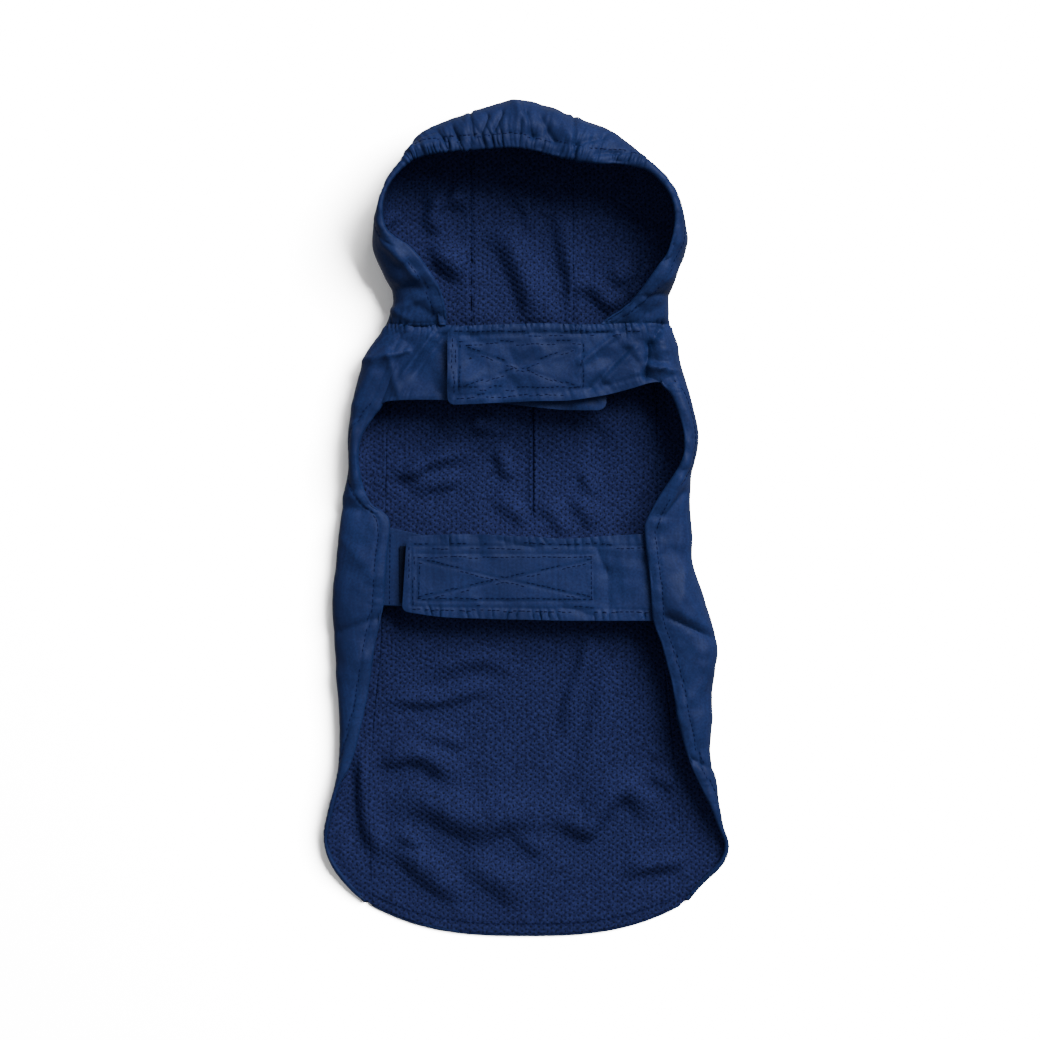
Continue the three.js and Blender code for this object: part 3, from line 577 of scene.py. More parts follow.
def folded(points: np.ndarray, folds: Sequence[Fold]) -> np.ndarray:
    """Height of soft curved folds: a crest and a trough side by side, which die away at both ends."""
    height = np.zeros(len(points))
    for fold in folds:
        curve = along_rows(fold.path, row_positions(len(fold.path) - 1, lambda i: 8))
        way = np.diff(curve, axis=0)
        length = np.linalg.norm(way, axis=1)
        offset = points[:, None, :2] - curve[None, :-1]
        share = np.clip((offset * way).sum(axis=2) / length**2, 0, 1)
        gap = np.linalg.norm(offset - share[..., None] * way, axis=2)
        near = gap.argmin(axis=1)
        row = np.arange(len(points))
        left = np.sign(way[near, 0] * offset[row, near, 1] - way[near, 1] * offset[row, near, 0])
        aside = left * gap[row, near] / fold.width
        reach = (np.cumsum(length) - length)[near] + share[row, near] * length[near]
        end = np.minimum(reach, length.sum() - reach) / length.sum()
        height += 1.65 * fold.lift * fade(end, 0.34) * (aside + 0.3) * np.exp(-(aside**2))
    return height


def billowed(points: np.ndarray) -> np.ndarray:
    """How far the lining stands off where tab and strap cross over it."""
    across = np.clip(1 - (points[:, 0] / 70) ** 2, 0, 1)
    return across * sum(b.lift * bell(points[:, 1] - b.y, b.reach) for b in BILLOWS)


def stay_above(lift: np.ndarray) -> np.ndarray:
    """Rounds off what would sink into the cloth below."""
    return 0.5 * (lift + np.sqrt(lift**2 + 0.5))


def stitched(points: np.ndarray, lines: Sequence[Sequence[float]], depth: float) -> np.ndarray:
    """Grooves that rows of stitches pull into the cloth."""
    height = np.zeros(len(points))
    for line in lines:
        aside, past = beside(points, line)
        height = np.minimum(height, -depth * np.exp(-((aside / 0.9) ** 2) - (past / 0.9) ** 2))
    return height


def corner_inset(distance: np.ndarray, radius: float) -> np.ndarray:
    """How far a strap's edge draws in towards its rounded end."""
    near = np.clip(radius - distance, 0, radius)
    return radius - np.sqrt(radius**2 - near**2)


def box_lines(box: Rectangle, inset: float) -> list[tuple[float, float, float, float]]:
    """The stitch rows of a sewn box, with a cross that starts `inset` from its sides."""
    left, right, bottom, top = box
    return [
        (left, bottom, right, bottom), (right, bottom, right, top), (right, top, left, top),
        (left, top, left, bottom),
        (left + inset, bottom + 1, right - inset, top - 3),
        (left + inset, top - 3, right - inset, bottom + 1),
    ]


def level_line(line: Sequence[float], z: float) -> np.ndarray:
    """Both ends of a line seen from above, at one height."""
    return np.array([[line[0], line[1], z], [line[2], line[3], z]])


def neck_lines() -> tuple[tuple[float, float, float, float], ...]:
    """The stitch rows of the right neck band."""
    return (*box_lines(NECK_BOX, 4.0), (-37, 95.5, 60, 96), (-37, 63, 20, 64.5), (-37.5, 94, -37.5, 63.5))


def add_object(name: str, bm: bmesh.types.BMesh, material: bpy.types.Material) -> bpy.types.Object:
    """Makes an object in metres from a mesh in millimetres."""
    mesh = bpy.data.meshes.new(name)
    bm.to_mesh(mesh)
    mesh.transform(Matrix.Scale(MM, 4))
    mesh.materials.append(material)
    piece = bpy.data.objects.new(name, mesh)
    bpy.context.scene.collection.objects.link(piece)
    return piece


class Cloth:
    """One piece of cloth, gathered from grids of points in millimetres."""

    def __init__(self, name: str) -> None:
        """Starts an empty piece."""
        self.name = name
        self.bm = bmesh.new()
        self.uv = self.bm.loops.layers.uv.new("cut")
        self.edge = self.bm.verts.layers.float.new("edge")
        self.along = self.bm.verts.layers.float.new("along")

    def add_grid(self, points: np.ndarray, outward: np.ndarray, flat: np.ndarray, edge: np.ndarray,
                 along: np.ndarray) -> None:
        """Adds a grid.

        Args:
            points: rows of points.
            outward: the direction of the outside, at each point or everywhere.
            flat: where each point lies on the flat cut.
            edge: distance of each point from the free edge, below zero past it.
            along: distance of each row along that edge.
        """
        rows, columns = points.shape[:2]
        faced = np.cross(np.gradient(points, axis=1), np.gradient(points, axis=0))
        made = bmesh.ops.create_grid(self.bm, x_segments=columns - 1, y_segments=rows - 1, size=1.0)
        cut = {}
        for v in made["verts"]:
            j = round((v.co.x + 1) / 2 * (columns - 1))
            i = round((v.co.y + 1) / 2 * (rows - 1))
            v.co = points[i, j]
            v[self.edge] = edge[i, j]
            v[self.along] = along[i]
            cut[v] = flat[i, j]
        faces = list({f for v in made["verts"] for f in v.link_faces})
        for f in faces:
            f.smooth = True
            for loop in f.loops:
                loop[self.uv].uv = cut[loop.vert]
        if (faced * outward).sum() < 0:
            bmesh.ops.reverse_faces(self.bm, faces=faces)

    def weld(self) -> "Cloth":
        """Joins the grids where they meet, and returns the piece."""
        bmesh.ops.remove_doubles(self.bm, verts=self.bm.verts[:], dist=0.02)
        bmesh.ops.dissolve_degenerate(self.bm, dist=0.01, edges=self.bm.edges[:])
        return self

    def cut_area(self) -> float:
        """Area of the flat cut, in square metres."""
        return sum(f.calc_area() for f in self.bm.faces) * MM * MM

    def relieve(self, relief: Callable[[Spots], np.ndarray]) -> "Cloth":
        """Moves the cloth out along its normals by its relief, never below the table."""
        self.bm.normal_update()
        verts = self.bm.verts[:]
        points = np.array([v.co[:] for v in verts])
        normals = np.array([v.normal[:] for v in verts])
        edge = np.array([v[self.edge] for v in verts])
        along = np.array([v[self.along] for v in verts])
        height = relief(Spots(points, normals, edge, along))
        moved = points + normals * height[:, None]
        moved[:, 2] = np.maximum(moved[:, 2], np.minimum(points[:, 2], 0.4))
        for v, p in zip(verts, moved):
            v.co = p
        return self

    def between(self, name: str, low: float, high: float) -> "Cloth":
        """A copy of what lies between two planes across the coat."""
        part = Cloth.__new__(Cloth)
        part.name, part.bm = name, self.bm.copy()
        for x, way in ((low, -1), (high, 1)):
            everything = part.bm.verts[:] + part.bm.edges[:] + part.bm.faces[:]
            bmesh.ops.bisect_plane(
                part.bm, geom=everything, dist=0.001,
                plane_co=(x, 0, 0), plane_no=(way, 0, 0), clear_outer=True,
            )
        return part

    def tree(self) -> BVHTree:
        """The cloth as a tree to lay stitches on."""
        return BVHTree.FromBMesh(self.bm)

    def finish(
        self, thickness: float, material: bpy.types.Material, rounded: bool = False
    ) -> bpy.types.Object:
        """Makes the object, in metres.

        Args:
            thickness: of the cloth.
            material: its finish.
            rounded: whether its cut edges are rounded, as on a doubled strap.

        Returns:
            The object.
        """
        piece = add_object(self.name, self.bm, material)
        wall = piece.modifiers.new("cloth", "SOLIDIFY")
        wall.thickness = thickness * MM
        wall.offset = 0.0
        if rounded:
            edge = piece.modifiers.new("edge", "BEVEL")
            edge.width = 0.35 * thickness * MM
            edge.affect = "EDGES"
            edge.segments = 3
            edge.profile = 0.5
            edge.material = -1
            edge.limit_method = "ANGLE"
            edge.angle_limit = math.radians(60)
        return piece


def declare(piece: bpy.types.Object, node: str, area: float) -> bpy.types.Object:
    """Attaches a piece of cloth to the root, hides the CAD node that it replaces, and logs the area of its
    cut.

    Args:
        piece: the cloth.
        node: the CAD node that it replaces.
        area: of the cut, in square metres.

    Returns:
        The piece.
    """
    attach(piece, "root")
    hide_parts(node)
    log.info("%s: %.0f cm2 of cloth", piece.name, area * 1e4)
    return piece


def hem_strip(
    points: np.ndarray, normals: np.ndarray, lengths: np.ndarray, low: np.ndarray, back: np.ndarray
) -> tuple[np.ndarray, np.ndarray, np.ndarray]:
    """The turned hem along the free edge of a grid.

    Args:
        points: the surface between shell and lining.
        normals: its outward directions.
        lengths: each row's length.
        low: how far in from the surface the turned cloth lies, for each row.
        back: how far back from the edge it reaches, for each row.

    Returns:
        Rows of points that start on the shell's edge, their outward directions, and their distances
        from that edge.
    """
    edge, normal = points[:, -1], normals[:, -1]
    outward = unit(points[:, -1] - points[:, -3])
    centre, radius = (SHELL_MIDDLE - low) / 2, (SHELL_MIDDLE + low) / 2
    columns, facing, distances = [], [], []
    for turn in np.linspace(0, math.pi, 8):
        facing.append(normal * math.cos(turn) + outward * math.sin(turn))
        columns.append(edge + normal * centre[:, None] + facing[-1] * radius[:, None])
        distances.append(-radius * turn)
    for share in (0.25, 0.5, 0.75, 1.0):
        base, column = at_column(points, (points.shape[1] - 1) * (1 - share * back / lengths))
        facing.append(-normals[np.arange(len(points)), column])
        columns.append(base + facing[-1] * low[:, None])
        distances.append(-radius * math.pi - share * back)
    return np.stack(columns, axis=1), np.stack(facing, axis=1), np.stack(distances, axis=1)


def at_column(points: np.ndarray, at: np.ndarray) -> tuple[np.ndarray, np.ndarray]:
    """Each row's point at a place between two columns, and the number of the first of them."""
    column = np.clip(np.floor(at).astype(int), 0, points.shape[1] - 2)
    row = np.arange(len(points))
    share = (at - column)[:, None]
    return points[row, column] * (1 - share) + points[row, column + 1] * share, column


def stitch_path(points: np.ndarray, normals: np.ndarray, lengths: np.ndarray, inset: float) -> np.ndarray:
    """A line just over a grid, `inset` from its free edge."""
    path, column = at_column(points, (1 - inset / lengths) * (points.shape[1] - 1))
    return path + normals[np.arange(len(path)), column] * 2


def strip_edges(table: Sequence[Strip], t: np.ndarray) -> tuple[np.ndarray, np.ndarray]:
    """The upper and the lower edge of a band or strap, at the given positions of its table."""
    rows = along_rows(table, t)
    return rows[:, (0, 1, 4)], rows[:, (2, 3, 4)]


def seam_x(side: Side, y: np.ndarray) -> np.ndarray:
    """Where a side seam lies at the given places along the coat."""
    seam = SIDE_SEAM[side]
    return np.interp(-y, [-p.y for p in seam], [p.x for p in seam])


def lining_cloth(
    name: str, points: np.ndarray, normals: np.ndarray, flat: np.ndarray, edge: np.ndarray
) -> Cloth:
    """A lining, still without folds, on the inner side of the surface between shell and lining."""
    cloth = Cloth(name)
    cloth.add_grid(points - normals * LINING_MIDDLE, normals, flat, edge, cumulative(points[:, -1]))
    return cloth.weld()


def flat_cut(points: np.ndarray, lengths: np.ndarray, shares: np.ndarray) -> np.ndarray:
    """Where a grid's points lie on the flat cut: each section unrolled in its own direction."""
    start = points[:, 0, :2]
    way = unit(points[:, max(2, points.shape[1] // 3), :2] - start)
    return start[:, None] + way[:, None] * (lengths[:, None] * shares)[..., None]


def cumulative(points: np.ndarray) -> np.ndarray:
    """Distance along a row of points."""
    return np.concatenate([[0.0], np.cumsum(np.linalg.norm(np.diff(points, axis=0), axis=1))])


class Stitches:
    """Rows of topstitching, each stitch a short rounded length of thread."""

    def __init__(self, name: str) -> None:
        """Starts with no stitch."""
        self.name = name
        self.bm = bmesh.new()
        self.count = 0

    def lay(self, path: np.ndarray, tree: BVHTree, clear: float) -> None:
        """Lays a row of stitches on cloth.

        Args:
            path: points near the cloth, in order.
            tree: the cloth.
            clear: height of the thread's middle over the cloth's middle.
        """
        reach = cumulative(path)
        number = max(1, int(reach[-1] / STITCH_PITCH))
        ends = np.linspace(0, reach[-1], number + 1)
        knots = np.stack([np.interp(ends, reach, path[:, k]) for k in range(3)], axis=1)
        for a, b in zip(knots[:-1], knots[1:]):
            place, normal, _, _ = tree.find_nearest(Vector((a + b) / 2))
            toward = Vector((a + b) / 2) - place
            if toward.dot(normal) < 0:
                normal = -normal
            x = Vector(b - a)
            x = (x - normal * x.dot(normal)).normalized()
            y = normal.cross(x)
            turn = Matrix((x, y, normal)).transposed().to_4x4()
            size = Matrix.Diagonal((0.4 * STITCH_PITCH, 0.26, 0.2, 1))
            spot = Matrix.Translation(place + normal * clear)
            place = spot @ turn @ size
            bmesh.ops.create_uvsphere(self.bm, u_segments=6, v_segments=4, radius=1.0, matrix=place)
            self.count += 1

    def finish(self, material: bpy.types.Material) -> bpy.types.Object:
        """Makes the object, in metres."""
        for f in self.bm.faces:
            f.smooth = True
        piece = add_object(self.name, self.bm, material)
        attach(piece, "root")
        log.info("%s: %d stitches", self.name, self.count)
        return piece


def linear(code: str) -> tuple[float, float, float, float]:
    """A colour written as an sRGB hex value, in linear light."""
    channels = [int(code[i : i + 2], 16) / 255 for i in (1, 3, 5)]
    return (*(c / 12.92 if c <= 0.04045 else ((c + 0.055) / 1.055) ** 2.4 for c in channels), 1.0)


def add_node(tree: bpy.types.NodeTree, kind: str, inputs: dict | None = None, **settings) -> bpy.types.Node:
    """Adds a node.

    Args:
        tree: where.
        kind: its type.
        inputs: values, or sockets to link, by input name or number.
        settings: the node's own settings.

    Returns:
        The node.
    """
    node = tree.nodes.new(kind)
    for name, value in settings.items():
        setattr(node, name, value)
    for name, value in (inputs or {}).items():
        if isinstance(value, bpy.types.NodeSocket):
            tree.links.new(value, node.inputs[name])
        else:
            node.inputs[name].default_value = value
    return node


def new_material(
    name: str, roughness: float, specular: float
) -> tuple[bpy.types.Material, bpy.types.NodeTree, bpy.types.Node]:
    """A plain material, its tree and its shader."""
    material = bpy.data.materials.new(name)
    material.use_nodes = True
    tree = material.node_tree
    shader = tree.nodes["Principled BSDF"]
    shader.inputs["Roughness"].default_value = roughness
    shader.inputs["Specular IOR Level"].default_value = specular
    return material, tree, shader


def coordinates(tree: bpy.types.NodeTree) -> tuple[bpy.types.NodeSocket, bpy.types.NodeSocket]:
    """Places in the object in metres, and on the flat cut in millimetres."""
    place = add_node(tree, "ShaderNodeTexCoord").outputs["Object"]
    return place, add_node(tree, "ShaderNodeUVMap", uv_map="cut").outputs["UV"]


def grain(
    tree: bpy.types.NodeTree, place: bpy.types.NodeSocket, scale: float, detail: float, output: str = "Fac"
) -> bpy.types.NodeSocket:
    """An uneven pattern between 0 and 1."""
    inputs = {"Vector": place, "Scale": scale, "Detail": detail}
    return add_node(tree, "ShaderNodeTexNoise", inputs).outputs[output]


def maths(tree: bpy.types.NodeTree, kind: str, operation: str, *values) -> bpy.types.NodeSocket:
    """The result of a sum on numbers, for the kind Math, or on vectors, for VectorMath."""
    return add_node(tree, f"ShaderNode{kind}", dict(enumerate(values)), operation=operation).outputs[0]


def stretch(
    tree: bpy.types.NodeTree, value: bpy.types.NodeSocket, low: float, high: float
) -> bpy.types.NodeSocket:
    """A value stretched so that low becomes 0 and high 1."""
    inputs = {"Value": value, "From Min": low, "From Max": high}
    return add_node(tree, "ShaderNodeMapRange", inputs).outputs[0]


def blend(tree: bpy.types.NodeTree, share: bpy.types.NodeSocket, low, high) -> bpy.types.NodeSocket:
    """A colour between two others, each a value or a socket."""
    return add_node(tree, "ShaderNodeMix", {0: share, 6: low, 7: high}, data_type="RGBA").outputs[2]


class Bump(NamedTuple):
    """One layer of relief: its height, its depth in metres and its share of it."""

    height: bpy.types.NodeSocket
    depth: float
    strength: float
    inwards: bool = False


def add_bumps(tree: bpy.types.NodeTree, shader: bpy.types.Node, *bumps: Bump) -> None:
    """Lays bumps over one another on a shader."""
    below = {}
    for bump in bumps:
        inputs = {"Height": bump.height, "Distance": bump.depth, "Strength": bump.strength, **below}
        below = {"Normal": add_node(tree, "ShaderNodeBump", inputs, invert=bump.inwards).outputs[0]}
    tree.links.new(below["Normal"], shader.inputs["Normal"])


@dataclass(frozen=True)
class CoatedPolyester:
    """Plain-woven polyester, coated on its back: an even blue with a low, broad sheen and fine creases."""

    light: str = "#141F41"
    dark: str = "#0F1835"
    roughness: float = 0.5
    specular: float = 0.04
    thread_mm: float = 0.55  # real threads are 0.2 mm apart, too fine to show, so they are drawn coarser

    def build(self) -> bpy.types.Material:
        """Makes the material."""
        material, tree, shader = new_material("coated_polyester", self.roughness, self.specular)
        place, cut = coordinates(tree)
        streaks = grain(tree, maths(tree, "VectorMath", "MULTIPLY", cut, (0.55, 0.03, 1.0)), 1.0, 3.0)
        clouds = grain(tree, place, 28.0, 4.0)
        cloudy = maths(tree, "Math", "MULTIPLY", clouds, grain(tree, place, 900.0, 2.0))
        tone = stretch(tree, maths(tree, "Math", "MULTIPLY_ADD", streaks, 0.35, cloudy), 0.32, 0.57)
        colour = blend(tree, tone, linear(self.dark), linear(self.light))
        tree.links.new(colour, shader.inputs["Base Color"])
        weave = add_node(
            tree, "ShaderNodeTexWave", {"Vector": cut, "Scale": 1 / (2 * self.thread_mm), "Distortion": 0.6},
            wave_type="BANDS", bands_direction="DIAGONAL",
        )
        add_bumps(
            tree, shader,
            Bump(grain(tree, place, 75.0, 3.0), 0.0018, 0.35),
            Bump(grain(tree, place, 260.0, 3.0), 0.0003, 0.4),
            Bump(weave.outputs["Fac"], 0.00008, 0.35),
        )
        return material


@dataclass(frozen=True)
class KnitMesh:
    """Warp-knitted polyester mesh: matt blue loops with painted highlights and painted shade, round small
    staggered holes painted near black: the navy shell seen through them, in painted shade.
    """

    # the loops' colour runs at random between yarn, the yarn with a painted highlight, and shade, the yarn in
    # painted shade
    yarn: str = "#161D40"
    shade: str = "#090E28"
    # colour of the holes: the shell behind them, darkened by painted shade
    painted_hole_shade: str = "#040714"
    roughness: float = 0.82
    specular: float = 0.05
    across_mm: float = 4.6  # the holes repeat across the cloth, with one more in the middle of each repeat
    along_mm: float = 3.2
    wander_mm: float = 2.4  # the rows of loops aren't quite straight

    def build(self) -> bpy.types.Material:
        """Makes the material."""
        material, tree, shader = new_material("warp_knit_mesh", self.roughness, self.specular)
        place, cut = coordinates(tree)
        wander = grain(tree, cut, 0.12, 1.0, "Color")
        moved = maths(tree, "VectorMath", "SUBTRACT", wander, (0.5, 0.5, 0.5))
        reach = (self.wander_mm, self.wander_mm, 0.0)
        moved = maths(tree, "VectorMath", "MULTIPLY_ADD", moved, reach, cut)
        turns = (2 * math.pi / self.across_mm, 2 * math.pi / self.along_mm, 0.0)
        wave = maths(tree, "VectorMath", "COSINE", maths(tree, "VectorMath", "MULTIPLY", moved, turns))
        across, along = add_node(tree, "ShaderNodeSeparateXYZ", {0: wave}).outputs[:2]
        cells = maths(tree, "Math", "MULTIPLY", across, along)
        slots = maths(tree, "Math", "MULTIPLY", cells, maths(tree, "Math", "POWER", across, 2.0))
        uneven = maths(tree, "Math", "MULTIPLY_ADD", grain(tree, cut, 0.9, 2.0), 0.9, slots)
        holes = stretch(tree, uneven, 0.85, 1.22)
        # random noise over the loops: it places their painted highlight and painted shade, and their bump
        loops = grain(tree, place, 850.0, 2.0)
        yarn = blend(tree, stretch(tree, loops, 0.35, 0.65), linear(self.shade), linear(self.yarn))
        # the holes get their painted shade colour
        tree.links.new(blend(tree, holes, yarn, linear(self.painted_hole_shade)), shader.inputs["Base Color"])
        add_bumps(tree, shader, Bump(cells, 0.0002, 0.7, inwards=True), Bump(loops, 0.0003, 0.6))
        return material


@dataclass(frozen=True)
class ClosureTape:
    """Woven nylon hook-and-loop tape: dark, matt and fuzzy."""

    light: str = "#0C1226"
    dark: str = "#060A18"
    roughness: float = 0.9
    specular: float = 0.05

    def build(self) -> bpy.types.Material:
        """Makes the material."""
        material, tree, shader = new_material("hook_and_loop_tape", self.roughness, self.specular)
        fuzz = grain(tree, coordinates(tree)[0], 1500.0, 3.0)
        tree.links.new(blend(tree, fuzz, linear(self.dark), linear(self.light)), shader.inputs["Base Color"])
        add_bumps(tree, shader, Bump(fuzz, 0.0005, 0.9))
        return material


@dataclass(frozen=True)
class SewingThread:
    """Spun polyester thread, darker than the shell, its darkness partly painted shade of needle holes and its
    own shadow, with a slight gloss on each stitch.
    """

    # the thread's blue, darkened by painted shade of needle holes and shadow
    colour: str = "#060A28"
    roughness: float = 0.6
    specular: float = 0.03

    def build(self) -> bpy.types.Material:
        """Makes the material."""
        material, tree, shader = new_material("sewing_thread", self.roughness, self.specular)
        add_bumps(tree, shader, Bump(grain(tree, coordinates(tree)[0], 2500.0, 2.0), 0.0001, 0.5))
        shader.inputs["Base Color"].default_value = linear(self.colour)
        return material


@dataclass(frozen=True)
class Finishes:
    """The coat's materials."""

    shell: bpy.types.Material
    lining: bpy.types.Material
    tape: bpy.types.Material
    thread: bpy.types.Material


def shell_relief(spots: Spots) -> np.ndarray:
    """Creases and crumple of the shell. They die away on the table, and stay small along the outline."""
    points = spots.points
    lift = creased(points, SHELL_CREASES)
    upper = fade(points[:, 1] - 30, 40)
    lift += (2.2 + 0.9 * upper) * facets(points, 20, 3) + (0.7 + 0.6 * upper) * facets(points, 8, 8)
    lift += 0.2 * crumple(points, 5, 5.0)
    lift *= fade(points[:, 2] - 1.5, 5) * (0.3 + 0.7 * np.abs(spots.normals[:, 2]))
    return lift * np.where(spots.edge < 0, 0.6, 1.0)


@dataclass
class BackPanel:
    """The back, flat on the table, with the lining over it and the bowed tail hem."""

    finishes: Finishes
    length: float = 305.5
    hem_drop: float = 16.0
    hem_power: float = 2.8
    bow_start: float = 0.55
    dart: Crease = Crease(2.8, 64, 2.8, 6, 1.3, 1.6)
    rows: int = 270  # of the lining's grid
    columns: int = 140
    dart_columns: int = 16  # the lining has more of them here
    dart_zone: float = 0.017  # as a share of the width, to each side
    stitch_clear: float = 0.35
    tree: BVHTree | None = None

    def surface(self, rows: int, across: np.ndarray) -> tuple[np.ndarray, np.ndarray, np.ndarray]:
        """Points of the panel, their outward directions, and each column's length."""
        y = np.linspace(NECK_Y, SIDE_SEAM[Side.LEFT][-1].y, rows)
        left, right = (seam_x(side, y) + side.value * SEAM_LAP for side in Side)
        x = left[:, None] + (right - left)[:, None] * across
        bow = self.hem_drop * (1 - np.abs(2 * across - 1) ** self.hem_power)
        low = fade(NECK_Y - y - self.bow_start * self.length, (1 - self.bow_start) * self.length)
        y = y[:, None] - low[:, None] * bow - SEAM_LAP
        points = np.stack([x, y, np.full_like(x, TABLE_CLEAR)], axis=2).transpose(1, 0, 2)
        lengths = np.array([cumulative(column)[-1] for column in points])
        return points, np.broadcast_to((0.0, 0.0, -1.0), points.shape), lengths

    def lining_columns(self) -> np.ndarray:
        """Where the lining's columns lie from side to side, closer together at the dart."""
        left, right = (SIDE_SEAM[side][4].x for side in Side)
        middle = (self.dart.from_x - left) / (right - left)
        extra = middle + np.linspace(-self.dart_zone, self.dart_zone, self.dart_columns)
        return np.sort(np.concatenate([np.linspace(0, 1, self.columns), extra]))

    def relief(self, spots: Spots) -> np.ndarray:
        """Folds of the lining, which die away towards neck and hem."""
        points, edge = spots.points, spots.edge
        lift = folded(points, LINING_FOLDS)
        lift = stay_above(lift + 0.7 + 0.8 * crumple(points, 26, 1.0) + 0.3 * crumple(points, 9, 6.0))
        lift += billowed(points) + creased(points, [self.dart])
        aside, past = beside(points, self.dart[:4])
        lift -= 2.2 * np.exp(-((aside / 0.8 - 0.9) ** 2) - (past / 6) ** 2)
        margin = fade(edge - 1, 7) * fade(NECK_Y - points[:, 1], 8)
        groove = -0.35 * bell(edge - HEM_STITCH, 0.8)
        return -(lift * (0.15 + 0.85 * margin) + groove)

    def build(self) -> None:
        """Makes shell and lining."""
        self.build_shell()
        self.build_lining()

    def build_shell(self) -> None:
        """Makes the flat shell and its turned hem."""
        points, normals, lengths = self.surface(60, np.linspace(0, 1, 70))
        cloth = Cloth("back_panel")
        along = cumulative(points[:, -1])
        edge = lengths[:, None] * (1 - np.linspace(0, 1, points.shape[1]))
        cloth.add_grid(points + normals * SHELL_MIDDLE, normals, points[..., :2], edge, along)
        full = np.full(len(points), LINING_MIDDLE)
        hem, facing, past = hem_strip(points, normals, lengths, full, np.full(len(points), 0.4))
        cloth.add_grid(hem, facing, points[:, -1:, :2] + past[..., None] * (0, 1), past, along)
        cloth.weld()
        area = cloth.cut_area()
        piece = cloth.finish(SHELL_CLOTH, self.finishes.shell)
        declare(piece, "shell_back", area)

    def build_lining(self) -> None:
        """Makes the lining with its folds."""
        points, normals, lengths = self.surface(self.rows, self.lining_columns())
        edge = lengths[:, None] * (1 - np.linspace(0, 1, points.shape[1]))
        cloth = lining_cloth("back_lining", points, normals, points[..., :2], edge)
        area = cloth.cut_area()
        cloth.relieve(self.relief)
        self.tree = cloth.tree()
        piece = cloth.finish(LINING_CLOTH, self.finishes.lining)
        declare(piece, "lining_back", area)

    def sew(self, stitches: Stitches) -> None:
        """Topstitches the tail hem."""
        points, _, _ = self.surface(self.rows, self.lining_columns())
        inset = points[:, -1] + (0, HEM_STITCH, 3)
        stitches.lay(inset[3:-3], self.tree, self.stitch_clear)


